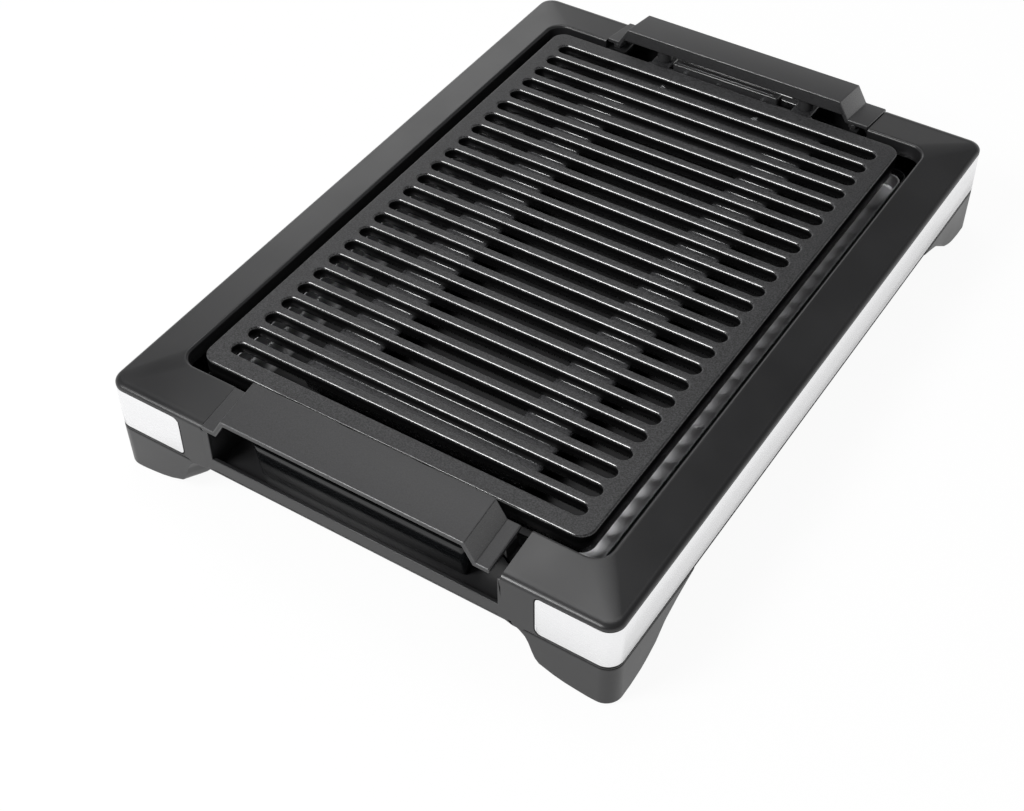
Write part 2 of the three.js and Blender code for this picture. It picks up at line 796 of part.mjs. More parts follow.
function grillPlate() {
  const slots = [];
  for (let index = 0; index < slotCount; index += 1) {
    slots.push(slotCutter(index));
  }
  const slab = cut(plateBlock(), [plateUnderside(), ...slots]);
  const half = channelWidth / 2;
  const runs = [
    channelRun(-channelOffset - half, -channelOffset + half, -crossRunFront, legEnd),
    channelRun(channelOffset - half, channelOffset + half, -crossRunFront, legEnd),
    channelRun(-crossRunHalfWidth, crossRunHalfWidth, -crossRunFront, -crossRunRear),
    channelRun(-channelOffset - half, channelOffset + half, legEnd - channelWidth,
      plateHalfLength - plateSkirtThickness),
  ];
  const edge = plateHalfLength - plateSkirtThickness;
  const lug = box(
    frontLug.left - plateShift, frontLug.right - plateShift, -frontLugEnd, -edge,
    frontLug.top - lugThickness, frontLug.top,
  );
  const ears = [-1, 1].map((sign) => box(
    Math.min(sign * rearEar.inner, sign * rearEar.outer),
    Math.max(sign * rearEar.inner, sign * rearEar.outer),
    edge, rearEarEnd, rearEar.top - lugThickness, rearEar.top,
  ));
  const centre = terminalCentre - plateShift;
  const shelf = box(centre - shelfHalfWidth, centre + shelfHalfWidth, legEnd, shelfEnd,
    shelfTop - shelfThickness, shelfTop);
  const terminalBlock = box(centre - shelfHalfWidth, centre + shelfHalfWidth, legEnd,
    plateHalfLength - skirtDraft, shelfTop - shelfThickness, barBottom + weldLap);
  const body = joined([slab, ...runs, lug, ...ears, shelf, terminalBlock]);
  const bore = tubeAlong(tubePath(plateHalfLength + overrun), tubeRadius + fitGap);
  const sleeveX = centre + sleeveOffset;
  const sleeveBore = lyingCylinder(sleeveX, terminalHeight, insulatorStart - sleeveLength / 2,
    plateHalfLength + overrun, sleeveRadius + fitGap);
  const screwHoles = [
    ...[-1, 1].map((sign) => uprightCylinder(
      frontLugCentre - plateShift + sign * frontScrewOffset, -frontScrewY,
      frontLug.top - lugThickness - overrun, frontLug.top + overrun, screwRadius + fitGap)),
    ...[-1, 1].map((sign) => uprightCylinder(
      sign * rearScrewX, rearScrewY,
      rearEar.top - lugThickness - overrun, rearEar.top + overrun, screwRadius + fitGap)),
  ];
  return cut(body, [bore, sleeveBore, ...screwHoles]);
}

// Heater and terminals

function heatingElement() {
  return tubeAlong(tubePath(plateHalfLength), tubeRadius);
}

function terminalX(sign) {
  return terminalCentre + sign * terminalSpacing / 2;
}

function terminalPin(sign) {
  const start = plateHalfLength + fitGap;
  return lyingCylinder(terminalX(sign), terminalHeight, start, start + pinLength, pinRadius);
}

function terminalInsulator(sign) {
  const end = insulatorStart + insulatorLength;
  const collar = lyingCylinder(terminalX(sign), terminalHeight, insulatorStart, end, insulatorRadius);
  const bore = lyingCylinder(terminalX(sign), terminalHeight, insulatorStart - overrun,
    end + overrun, pinRadius + fitGap);
  return collar.subtract(bore);
}

function probeSleeve() {
  const start = insulatorStart - sleeveLength / 2 + fitGap;
  return lyingCylinder(terminalCentre + sleeveOffset, terminalHeight, start,
    start + sleeveLength, sleeveRadius);
}

function terminalGuard() {
  const bottom = shelfTop + fitGap;
  const outline = roundedRectangle(guardHalfWidth, guardDepth / 2, guardDepth / 2 - weldLap);
  const middle = guardStart + guardDepth / 2;
  const place = (z) => outline.map((point) => new THREE.Vector3(
    point.x + terminalCentre, point.y + middle, z));
  const bar = loft([place(bottom), place(guardTop)]);
  const ridges = [1, 3].map((quarter) => {
    const y = guardStart + guardDepth * quarter / 4;
    const reach = guardHalfWidth - guardDepth / 2;
    return box(terminalCentre - reach, terminalCentre + reach, y - guardRidgeWidth / 2,
      y + guardRidgeWidth / 2, guardTop - weldLap, guardTop + guardRidgeHeight);
  });
  const bores = [
    [terminalX(-1), pinRadius + fitGap],
    [terminalX(1), pinRadius + fitGap],
    [terminalCentre + sleeveOffset, sleeveRadius + fitGap],
  ].map(([x, radius]) => lyingCylinder(x, terminalHeight, guardStart - overrun,
    guardStart + guardDepth + overrun, radius));
  return cut(joined([bar, ...ridges]), bores);
}

// Handles: arched shells, open outwards, sloping down towards the ends of the grill

function handleProfile(inset) {
  const top = handleOuterTop - inset;
  const flangeTop = handleOuterTop - flangeDrop;
  const slopeWidth = slopeFootHalfWidth - plateauHalfWidth;
  const slopeLength = Math.hypot(slopeWidth, flangeDrop);
  const sideInset = inset * (slopeLength - slopeWidth) / flangeDrop;
  const half = [
    [flangeHalfWidth, flangeTop - inset],
    [slopeFootHalfWidth - sideInset, flangeTop - inset],
    [plateauHalfWidth - sideInset + crestCut * slopeWidth / slopeLength,
      top - crestCut * flangeDrop / slopeLength],
    [plateauHalfWidth - sideInset - crestCut, top],
  ];
  const right = half.map(([x, z]) => new THREE.Vector2(x + plateShift, z));
  const left = half.map(([x, z]) => new THREE.Vector2(plateShift - x, z)).reverse();
  return [...right, ...left];
}

// Heights rise towards the middle of the grill, by the slope of the handle's top
function sheared(solid) {
  return solid.warp((vertex) => {
    vertex[2] += handleSlope * (halfBodyLength - Math.abs(vertex[1]));
  });
}

function handleShellSolid(sign) {
  const outer = handleProfile(0);
  const inner = handleProfile(handleShell).reverse();
  const near = sign * handleInner;
  const far = sign * halfBodyLength;
  return prismAlongY([...outer, ...inner], Math.min(near, far), Math.max(near, far));
}

function handle(sign, screws, seat, hasInnerWall) {
  const pieces = [handleShellSolid(sign)];
  if (hasInnerWall) {
    const y0 = Math.min(sign * handleInner, sign * (handleInner + handleShell));
    const half = plateauHalfWidth - handleShell;
    pieces.push(box(plateShift - half, plateShift + half, y0, y0 + handleShell,
      handleOuterTop - handleWallDrop, handleOuterTop - handleShell + weldLap));
  }
  const sloped = sheared(joined(pieces));
  const pegs = [-1, 1].map((side) => {
    const outer = plateShift + side * pegOuterOffset;
    const inner = outer - side * pegWidth;
    const near = sign * (ledgeInner + pegInset);
    const far = sign * (ledgeInner + ledgeLength - pegInset);
    return box(Math.min(outer, inner), Math.max(outer, inner), Math.min(near, far),
      Math.max(near, far), ledgeTop + fitGap, handleOuterTop - flangeDrop - weldLap);
  });
  const bosses = screws.map(([x, y]) => {
    const shellMiddle = handleOuterTop - handleShell / 2;
    const top = shellMiddle + handleSlope * (halfBodyLength - Math.abs(y));
    return uprightCylinder(x, y, seat + fitGap, top, handleBossRadius);
  });
  const bores = screws.map(([x, y]) => uprightCylinder(x, y, seat - overrun,
    seat + handleScrewLength - lugThickness + 2 * fitGap, screwRadius + fitGap));
  return cut(joined([sloped, ...pegs, ...bosses]), bores);
}

function frontScrews() {
  return [-1, 1].map((sign) => [frontLugCentre + sign * frontScrewOffset, -frontScrewY]);
}

function rearScrews() {
  return [-1, 1].map((sign) => [plateShift + sign * rearScrewX, rearScrewY]);
}

// Drip tray with a bay at each end, and the bright liner nested in it

function trayBlock(inset, floor, mainTop) {
  const x = trayHalfWidth - inset;
  const y = trayHalfLength - inset;
  const radius = trayCornerRadius - inset;
  return loft([
    rectangleRing(x - trayDraft, y - trayDraft, radius, floor),
    rectangleRing(x, y, radius, mainTop),
  ]);
}

function bayBlock(inset, floor, sign, top) {
  const x = bayHalfWidth - inset;
  const y = bayHalfLength - inset;
  const radius = bayCornerRadius - inset;
  const whole = loft([
    rectangleRing(x - trayDraft, y - trayDraft, radius, floor),
    rectangleRing(x, y, radius, top),
  ]);
  const near = sign * (trayHalfLength - trayCornerRadius - trayWall);
  const far = sign * (bayHalfLength + overrun);
  const y0 = Math.min(near, far);
  const y1 = Math.max(near, far);
  return whole.intersect(box(-bayHalfWidth, bayHalfWidth, y0, y1, floor, top));
}

function dripTray() {
  const outer = joined([
    trayBlock(0, trayBottom, trayTop),
    bayBlock(0, trayBottom, -1, frontBayTop),
    bayBlock(0, trayBottom, 1, rearBayTop),
  ]);
  const clear = frontBayTop + overrun;
  const hollow = joined([
    trayBlock(trayWall, trayFloor, clear),
    bayBlock(trayWall, trayFloor, -1, clear),
    bayBlock(trayWall, trayFloor, 1, clear),
  ]);
  const ribPlaces = trayRibShares.flatMap((share) => [-share, share]);
  const ribs = ribPlaces.map((share) => share * trayHalfWidth).map((x) => box(
    x - trayRibWidth / 2, x + trayRibWidth / 2, -trayRibHalfLength, trayRibHalfLength,
    trayFloor - weldLap, linerFloor - fitGap,
  ));
  return joined([outer.subtract(hollow), ...ribs]);
}

function trayLiner() {
  const side = (trayTop - linerTop) / (trayTop - trayFloor) * trayDraft;
  const gap = trayWall + fitGap + side + linerFlangeWidth;
  const x = trayHalfWidth - gap;
  const y = trayHalfLength - gap;
  const lean = trayDraft;
  const inside = linerThickness;
  const outer = loft([
    rectangleRing(x - lean, y - lean, linerCornerRadius, linerFloor),
    rectangleRing(x, y, linerCornerRadius, linerTop),
  ]);
  const inner = loft([
    rectangleRing(x - lean - inside, y - lean - inside, linerCornerRadius - inside,
      linerFloor + inside),
    rectangleRing(x - inside, y - inside, linerCornerRadius - inside, linerTop + overrun),
  ]);
  return outer.subtract(inner);
}

// Materials
const plasticBlack = new THREE.MeshStandardMaterial({ color: 0x2b2b2c, roughness: 0.5 });
const phenolicBlack = new THREE.MeshStandardMaterial({ color: 0x343435, roughness: 0.7 });
const coatedCasting = new THREE.MeshStandardMaterial({ color: 0x39393a, roughness: 0.62 });
const glossBlack = new THREE.MeshStandardMaterial({ color: 0x131314, roughness: 0.25 });
const brushedSteel = new THREE.MeshStandardMaterial({
  color: 0xd9dadc,
  roughness: 0.32,
  metalness: 1,
});
const brightSheet = new THREE.MeshStandardMaterial({
  color: 0xc4c5c7,
  roughness: 0.28,
  metalness: 1,
});
const rubberBlack = new THREE.MeshStandardMaterial({ color: 0x1b1b1b, roughness: 0.9 });
const ceramicWhite = new THREE.MeshStandardMaterial({ color: 0xdedcd5, roughness: 0.5 });

// Assembly
const group = new THREE.Group();

function place(parent, name, solid, material) {
  const mesh = new THREE.Mesh(toGeometry(solid), material);
  mesh.name = name;
  parent.add(mesh);
  return mesh;
}

function cornerName(signX, signY) {
  return `${signY < 0 ? 'front' : 'rear'}_${signX < 0 ? 'left' : 'right'}`;
}

function sideName(sign) {
  return sign < 0 ? 'left' : 'right';
}

place(group, 'upper_housing', upperHousing(), plasticBlack);
place(group, 'base_pan', basePan(), plasticBlack);
place(group, 'left_trim_strip', trimStrip(leftStrip, -1), brushedSteel);
place(group, 'right_trim_strip', trimStrip(rightStrip, 1), brushedSteel);
eachCorner((signX, signY) => {
  const corner = cornerName(signX, signY);
  place(group, `${corner}_foot_pad`, footPad(signX, signY), rubberBlack);
  const housingScrew = screw(signX * housingScrewX, signY * housingScrewY, bodyBottom,
    housingScrewLength - fitGap);
  place(group, `${corner}_housing_screw`, housingScrew, brushedSteel);
});

const grill = new THREE.Group();
group.add(grill);
const casting = new THREE.Group();
casting.position.x = plateShift;
grill.add(casting);
place(casting, 'grill_plate', grillPlate(), coatedCasting);
place(casting, 'heating_element', heatingElement(), brushedSteel);
for (const sign of [-1, 1]) {
  place(grill, `${sideName(sign)}_terminal_pin`, terminalPin(sign), brushedSteel);
  place(grill, `${sideName(sign)}_terminal_insulator`, terminalInsulator(sign), ceramicWhite);
}
place(grill, 'probe_sleeve', probeSleeve(), brushedSteel);
place(grill, 'terminal_guard', terminalGuard(), phenolicBlack);
place(grill, 'front_handle', handle(-1, frontScrews(), frontLug.top, true), phenolicBlack);
place(grill, 'rear_handle', handle(1, rearScrews(), rearEar.top, false), phenolicBlack);
frontScrews().forEach(([x, y], index) => {
  const name = `front_${sideName(index - 1 / 2)}_handle_screw`;
  const seat = frontLug.top - lugThickness;
  place(grill, name, screw(x, y, seat, handleScrewLength), brushedSteel);
});
rearScrews().forEach(([x, y], index) => {
  const name = `rear_${sideName(index - 1 / 2)}_handle_screw`;
  const seat = rearEar.top - lugThickness;
  place(grill, name, screw(x, y, seat, handleScrewLength), brushedSteel);
});

const tray = new THREE.Group();
group.add(tray);
place(tray, 'drip_tray', dripTray(), glossBlack);
place(tray, 'tray_liner', trayLiner(), brightSheet);

export default group;
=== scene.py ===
import math

import bpy
import numpy as np
from bpy.props import FloatProperty, FloatVectorProperty, PointerProperty
from mathutils import Matrix, Vector


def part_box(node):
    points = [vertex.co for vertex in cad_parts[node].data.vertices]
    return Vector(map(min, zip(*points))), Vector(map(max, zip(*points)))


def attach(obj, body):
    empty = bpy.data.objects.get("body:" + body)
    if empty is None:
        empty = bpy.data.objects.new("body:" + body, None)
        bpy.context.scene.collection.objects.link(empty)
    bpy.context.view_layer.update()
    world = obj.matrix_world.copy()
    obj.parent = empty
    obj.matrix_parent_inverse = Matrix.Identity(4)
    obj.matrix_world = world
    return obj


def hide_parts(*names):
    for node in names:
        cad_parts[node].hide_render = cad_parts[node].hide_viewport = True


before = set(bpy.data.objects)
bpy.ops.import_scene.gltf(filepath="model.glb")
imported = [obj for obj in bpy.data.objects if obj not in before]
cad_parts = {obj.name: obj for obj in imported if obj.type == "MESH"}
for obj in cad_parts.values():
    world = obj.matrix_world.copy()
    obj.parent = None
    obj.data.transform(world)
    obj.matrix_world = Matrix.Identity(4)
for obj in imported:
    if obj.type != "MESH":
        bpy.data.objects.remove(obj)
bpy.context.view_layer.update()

bl_info = {
    "name": "Smokeless indoor grill",
    "version": (1, 0, 0),
    "blender": (4, 5, 0),
    "location": "View3D > Sidebar > Grill",
    "description": "Fine surfaces and finishes for the grill's solids, with its floor, light and camera",
    "category": "Add Mesh",
}

MM = 0.001
SIDES = {-1: "left", 1: "right"}
ENDS = {-1: "front", 1: "rear"}


# Sizes that several pieces share, in mm

def node_box(name):
    """Lowest and highest corner of a solid, in millimetres."""
    low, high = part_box(name)
    return np.array(low) / MM, np.array(high) / MM


BODY_X, BODY_Y = node_box("upper_housing")[1][:2]
WALL_FOOT = node_box("upper_housing")[0][2]
STRIP_RISE = 0.9
STRIP_TOP = node_box("left_trim_strip")[1][2] + STRIP_RISE
PLATE_LOW, PLATE_HIGH = node_box("grill_plate")
PLATE_X = (PLATE_LOW[0] + PLATE_HIGH[0]) / 2
PLATE_HALF = (PLATE_HIGH[0] - PLATE_LOW[0]) / 2
HOUSING_SCREW_X, HOUSING_SCREW_Y = 146.5, 118
# An edge sharper than this angle in degrees is a crease; turned pieces have this many sides.
CREASE_ANGLE, ROUND_STEPS = 34, 40


def between(sign, near, far):
    """Two distances from the middle as coordinates on one side of it, the lower one first."""
    return sorted((sign * near, sign * far))


def length(title, size, words):
    """A length property with its default in millimetres."""
    return FloatProperty(name=title, description=words, default=size * MM, unit="LENGTH")


class HousingSizes(bpy.types.PropertyGroup):
    """Sizes of the moulded housing's rim, and the corners that strips and feet follow."""
    rim_rise: length("Rim height at the well", 66.9, "Height of the rim's inner edge above the table")
    shoulder_top: length("Shoulder height", 63.2, "Height where the wall has rolled over into the rim")
    lip_radius: length("Well lip radius", 1.8, "Rounding of the rim's edge round the well")
    corner_radius: length("Corner radius", 9.5, "Radius of the body's four upright corners")


class PlateSizes(bpy.types.PropertyGroup):
    """Sizes of the cast plate."""
    slot_width: length("Slot width", 9.2, "Width of a slot between two bars")
    slot_length: length("Slot length", 226.4, "Length of a slot over its round ends")
    front_fillet: length("Bar front fillet", 1.6, "Rounding of a bar's edge towards the front handle")
    rear_fillet: length("Bar rear fillet", 1.0, "Rounding of a bar's other edge")
    channel_drop: length("Heater channel depth", 6.8, "Drop from the bars' tops to the heater channel")


class HandleSizes(bpy.types.PropertyGroup):
    """Sizes of the two moulded handles."""
    edge_radius: length("Edge radius", 0.7, "Rounding of the handle's ends")
    crest_radius: length("Crest radius", 0.9, "Rounding where the flat top turns into the sloped cheek")


class TraySizes(bpy.types.PropertyGroup):
    """Sizes of the drip tray and its liner."""
    wall: length("Tray wall", 1.6, "Thickness of the drip tray's wall")
    sheet: length("Liner sheet", 0.8, "Thickness of the liner's sheet metal")


def linear(code):
    """sRGB hex to linear light: c/12.92 below 0.04045, else ((c+0.055)/1.055)^2.4."""
    values = [int(code[at:at + 2], 16) / 255 for at in (1, 3, 5)]
    return [c / 12.92 if c <= 0.04045 else ((c + 0.055) / 1.055) ** 2.4 for c in values] + [1.0]


def colour(title, code, words):
    """A colour property with its sRGB hex default."""
    return FloatVectorProperty(name=title, description=words, subtype="COLOR", size=4,
                               min=0, max=1, default=linear(code))


class FinishColours(bpy.types.PropertyGroup):
    """Base colours of the finishes."""
    plastic: colour("Moulded plastic", "#222223", "Housing and base")
    phenolic: colour("Phenolic", "#323233", "Handles and terminal guard")
    coating: colour("Coated casting", "#1b1b1c", "Grill plate")
    gloss: colour("Glossy plastic", "#111213", "Drip tray")
    steel: colour("Satin steel", "#f5f5f6", "Trim strips")
    sheet: colour("Bright sheet", "#ececee", "Liner")
    floor: colour("Floor", "#f8f8f8", "Floor and backdrop")


# Outlines in numpy

def arc(centre, radius, start, end, steps):
    """Points on a circle: the centre plus the radius times (cos, sin) from start to end degrees."""
    angle = np.radians(np.linspace(start, end, steps + 1))
    return np.stack([centre[0] + radius * np.cos(angle), centre[1] + radius * np.sin(angle)], 1)


def unit(vectors):
    """Vectors over their lengths."""
    return vectors / np.linalg.norm(vectors, axis=-1, keepdims=True)


def rounded(corners, radii, steps):
    """Polygon with round corners: at each corner an arc touches both edges, its centre on the
    bisector at radius / sin(half angle), its ends radius / tan(half angle) from the corner."""
    corners = np.asarray(corners, float)
    radii = np.maximum(np.broadcast_to(np.asarray(radii, float), len(corners)), 1e-3)[:, None]
    back, ahead = unit(np.roll(corners, 1, 0) - corners), unit(np.roll(corners, -1, 0) - corners)
    half = np.arccos(np.clip((back * ahead).sum(1, keepdims=True), -1, 1)) / 2
    centre = corners + unit(back + ahead) * radii / np.sin(half)
    start = corners + back * radii / np.tan(half) - centre
    end = corners + ahead * radii / np.tan(half) - centre
    turn = (np.pi - 2 * half)[:, None, :]
    share = np.linspace(0, 1, steps + 1)[None, :, None]
    points = centre[:, None] + (np.sin((1 - share) * turn) * start[:, None]
                                + np.sin(share * turn) * end[:, None]) / np.sin(turn)
    return points.reshape(-1, 2)


def inset(outline, depth):
    """Moves a closed counter-clockwise outline inwards: each point goes along the sum of its two
    edges' inward normals over one plus their product, so that both edges shift by the depth."""
    edge = unit(np.roll(outline, -1, 0) - outline + 1e-12)
    normal = np.stack([-edge[:, 1], edge[:, 0]], 1)
    before = np.roll(normal, 1, 0)
    share = 1 + (before * normal).sum(1, keepdims=True)
    return outline + (before + normal) / np.maximum(share, 0.25) * depth


def rectangle(half_x, half_y, radius, steps):
    """Rounded rectangle round the origin, counter-clockwise."""
    corners = [(half_x, half_y), (-half_x, half_y), (-half_x, -half_y), (half_x, -half_y)]
    return rounded(corners, radius, steps)


def level(outline, z):
    """An outline in x and y, lifted to one height or to each point's own."""
    return np.column_stack([outline, np.broadcast_to(z, len(outline))])


# Skins in numpy: points, an array of quads and a list of flat end plates

def grid_faces(rows, columns, wrap_rows=False):
    """Quads between neighbours of a grid of points stored row by row, each row a closed ring."""
    row = columns * np.arange(rows if wrap_rows else rows - 1)[:, None]
    after, column = (row + columns) % (rows * columns), np.arange(columns)[None]
    beside = (column + 1) % columns
    quads = np.stack([row + column, row + beside, after + beside, after + column], -1)
    return quads.reshape(-1, 4)


def shell(grid, wrap_rows=False):
    """A closed skin from a grid of points: rows are rings along a path, and the path's ends are
    closed by flat plates unless it is a ring too. The sign of its volume turns it outwards."""
    rows, columns = grid.shape[:2]
    points = grid.reshape(-1, 3)
    quads = grid_faces(rows, columns, wrap_rows)
    plates = [] if wrap_rows else [np.arange(columns)[::-1], np.arange(columns) + (rows - 1) * columns]
    volume = np.einsum("ij,ij->", points[quads[:, 0]],
                       np.cross(points[quads[:, 1]], points[quads[:, 2]])
                       + np.cross(points[quads[:, 2]], points[quads[:, 3]]))
    for plate in plates:
        fan = points[plate]
        volume += np.einsum("j,ij->", fan[0], np.cross(fan[1:-1], fan[2:]))
    if volume < 0:
        quads, plates = quads[:, ::-1], [plate[::-1] for plate in plates]
    return points, quads, plates


def stacked(rows):
    """A skin through pairs of outline and height, one over the other."""
    return shell(np.array([level(outline, z) for outline, z in rows]))


def open_skin(rows):
    """Points and quads through pairs of outline and height, left open at both ends."""
    grid = np.array([level(outline, z) for outline, z in rows])
    return grid.reshape(-1, 3), grid_faces(*grid.shape[:2])


def moved(skin, shift):
    """A skin with its points shifted."""
    points, *faces = skin
    return points + shift, *faces


def turned_axes(points, axes):
    """Local outline (a, b) and height h to x, y, z. The axes name where a, b and h go."""
    out = np.empty_like(points)
    for at, axis in enumerate(axes):
        out[..., "xyz".index(axis)] = points[..., at]
    return out


def prism(outline, low, high, radius, axes="xyz", steps=4):
    """An outline run straight from low to high, its end edges rounded: the height goes by the
    radius times one minus the sine, the inset by one minus the cosine, a flat ring just inside."""
    area = np.cross(outline, np.roll(outline, -1, 0)).sum()
    outline = outline if area > 0 else outline[::-1]
    angle = np.radians(np.linspace(90, 0, steps + 1))
    rise, depth = radius * (1 - np.sin(angle)), radius * (1 - np.cos(angle))
    heights = np.concatenate([[low], low + rise, high - rise[::-1], [high]])
    depths = np.concatenate([[radius * 1.25], depth, depth[::-1], [radius * 1.25]])
    rings = [level(inset(outline, inward), height) for inward, height in zip(depths, heights)]
    return shell(turned_axes(np.array(rings), axes))


def block(x0, x1, y0, y1, z0, z1, radius=0.8, steps=4):
    """A block with all edges rounded."""
    outline = rectangle((x1 - x0) / 2, (y1 - y0) / 2, radius * 1.3, steps)
    return prism(outline + [(x0 + x1) / 2, (y0 + y1) / 2], z0, z1, radius, "xyz", steps)


def lathe(profile, x, y, z=0.0, lying=False, hollow=False):
    """A profile of (radius, height) points turned round an upright axis, or one that lies along
    y. A hollow one's profile is a closed loop beside the axis."""
    profile = np.asarray(profile, float)
    angle = np.linspace(0, 2 * np.pi, ROUND_STEPS, endpoint=False)
    radius = np.maximum(profile[:, :1], 1e-3)
    a, b = radius * np.cos(angle), radius * np.sin(angle)
    local = np.stack([a, b, np.broadcast_to(profile[:, 1:], a.shape)], -1)
    grid = (turned_axes(local, "xzy") if lying else local) + np.array([x, y, z])
    return shell(grid.transpose(1, 0, 2), True) if hollow else shell(grid)


def merged(parts):
    """Joins (points, quads) pieces into one skin: points that round to the same 0.001 mm are made
    one, and a quad that has lost a corner becomes a triangle."""
    sizes = np.cumsum([0] + [len(points) for points, quads in parts])
    points = np.concatenate([points for points, quads in parts])
    quads = np.concatenate([quads + start for (p, quads), start in zip(parts, sizes)])
    first, back = np.unique(np.round(points, 3), axis=0, return_index=True, return_inverse=True)[1:]
    quads = back.reshape(-1)[quads]
    same = quads == np.roll(quads, -1, 1)
    whole = quads[same.sum(1) == 0]
    three = same.sum(1) == 1
    triangles = quads[three][~same[three]].reshape(-1, 3)
    return points[first], whole, triangles


def make_piece(name, skins, body, slot, node):
    """Puts skins of millimetre points into one mesh in metres, smooth but for its creases, with
    the finish of its slot. It rides on the body and stands for the node."""
    points, corners, starts = [], [], []
    base = loop = 0
    for vertices, *faces in skins:
        groups = [f for f in faces if isinstance(f, np.ndarray)]
        groups += [np.asarray(plate)[None] for f in faces if isinstance(f, list) for plate in f]
        for group in groups:
            if len(group) == 0:
                continue
            corners.append(group.reshape(-1) + base)
            starts.append(loop + np.arange(len(group)) * group.shape[1])
            loop += group.size
        points.append(vertices)
        base += len(vertices)
    points, corners, starts = map(np.concatenate, (points, corners, starts))
    mesh = bpy.data.meshes.new(name)
    mesh.vertices.add(len(points))
    mesh.vertices.foreach_set("co", (points * MM).astype(np.float32).ravel())
    mesh.loops.add(len(corners))
    mesh.loops.foreach_set("vertex_index", corners.astype(np.int32))
    mesh.polygons.add(len(starts))
    mesh.polygons.foreach_set("loop_start", starts.astype(np.int32))
    mesh.update(calc_edges=True)
    mesh.validate()
    mesh.shade_smooth()
    mesh.set_sharp_from_angle(angle=math.radians(CREASE_ANGLE))
    mesh.materials.append(finish(slot))
    piece = bpy.data.objects.new(name, mesh)
    bpy.context.scene.collection.objects.link(piece)
    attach(piece, body)
    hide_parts(node)


# Materials

def add(tree, kind, settings, links=None, into=None):
    """Adds a node, sets its own values and its sockets, links its inputs, and its outputs on."""
    node = tree.nodes.new(kind)
    for key, value in settings.items():
        if isinstance(key, str) and hasattr(node, key):
            setattr(node, key, value)
        else:
            node.inputs[key].default_value = value
    for key, source in (links or {}).items():
        tree.links.new(source, node.inputs[key])
    for key, target in (into or {}).items():
        tree.links.new(node.outputs[key], target)
    return node


def per_metre(size_mm):
    """Texture scale, in features a metre, of a pattern with features of this size."""
    return 1 / (size_mm * MM)


def scaled(base, factor):
    """A colour made darker or lighter."""
    return [min(1.0, channel * factor) for channel in base[:3]] + [1.0]


def new_material(name, settings):
    """A material with one Principled BSDF, its constants on its own sockets."""
    material = bpy.data.materials.new(name)
    material.use_nodes = True
    tree = material.node_tree
    tree.nodes.clear()
    shader = add(tree, "ShaderNodeBsdfPrincipled", settings)
    add(tree, "ShaderNodeOutputMaterial", {}, {"Surface": shader.outputs[0]})
    place = add(tree, "ShaderNodeTexCoord", {}).outputs
    return material, tree, shader.inputs, place


def mottled(name, settings, noise, colours, roughness, relief=None, stretch=None):
    """A finish whose one noise mixes two colours, sets the roughness between two values and, if
    asked, raises a relief of (strength, height in mm). The noise may be stretched along an axis."""
    material, tree, shader, place = new_material(name, settings)
    where = place["Object"]
    if stretch:
        where = add(tree, "ShaderNodeMapping", {"Scale": stretch}, {"Vector": where}).outputs[0]
    cloud = add(tree, "ShaderNodeTexNoise", noise, {"Vector": where}).outputs[0]
    add(tree, "ShaderNodeMix", {"data_type": "RGBA", "A": colours[0], "B": colours[1]},
        {"Factor": cloud}, {"Result": shader["Base Color"]})
    add(tree, "ShaderNodeMapRange", {"From Min": 0.3, "From Max": 0.7, "To Min": roughness[0],
                                     "To Max": roughness[1]},
        {"Value": cloud}, {"Result": shader["Roughness"]})
    if relief:
        add(tree, "ShaderNodeBump", {"Strength": relief[0], "Distance": relief[1] * MM},
            {"Height": cloud}, {"Normal": shader["Normal"]})
    return material, tree, shader, place


def moulded_abs(base):
    """Injection-moulded ABS with a fine spark-eroded grain: an even satin black whose
    reflections are broad and soft."""
    material, tree, shader, place = mottled(
        "moulded_abs", {"IOR": 1.5}, {"Scale": per_metre(45)},
        colours=(scaled(base, 0.85), scaled(base, 1.2)), roughness=(0.3, 0.38))
    # The real grain is about 0.1 mm; it is drawn at 0.5 mm so that it shows.
    grain = add(tree, "ShaderNodeTexNoise", {"Scale": per_metre(0.5)}, {"Vector": place["Object"]})
    add(tree, "ShaderNodeBump", {"Strength": 0.4, "Distance": 0.02 * MM},
        {"Height": grain.outputs[0]}, {"Normal": shader["Normal"]})
    return material


def speckled(name, ior, noise, spread, smoothness, grain, relief):
    """A finish with fine specks whose slanting edges are smoother and brighter: roughness goes
    from dull to gleaming with the slant, plus the specks' share times the grain. Also returns
    the specks' share, how far a face looks up, and the socket of the flat faces' specular level."""
    material, tree, shader, place = new_material(name, {"IOR": ior})
    specks = add(tree, "ShaderNodeTexNoise", noise, {"Vector": place["Object"]}).outputs[0]
    share = add(tree, "ShaderNodeMapRange", {"From Min": spread[0], "From Max": spread[1]},
                {"Value": specks}).outputs[0]
    upward = add(tree, "ShaderNodeSeparateXYZ", {}, {0: place["Normal"]}).outputs["Z"]
    slant = add(tree, "ShaderNodeMath", {"operation": "PINGPONG", 1: 0.5}, {0: upward}).outputs[0]
    smooth = add(tree, "ShaderNodeMapRange", {"From Min": 0.05, "From Max": 0.25,
                                              "To Min": smoothness[0], "To Max": smoothness[1]},
                 {"Value": slant}).outputs[0]
    add(tree, "ShaderNodeMath", {"operation": "MULTIPLY_ADD", 1: grain}, {0: share, 2: smooth},
        {0: shader["Roughness"]})
    sheen = add(tree, "ShaderNodeMapRange", {"From Min": 0.05, "From Max": 0.25, "To Max": 1.0},
                {"Value": slant}, {"Result": shader["Specular IOR Level"]})
    add(tree, "ShaderNodeBump", {"Strength": 0.5, "Distance": relief * MM},
        {"Height": specks}, {"Normal": shader["Normal"]})
    return material, tree, shader, place, share, upward, sheen.inputs["To Min"]


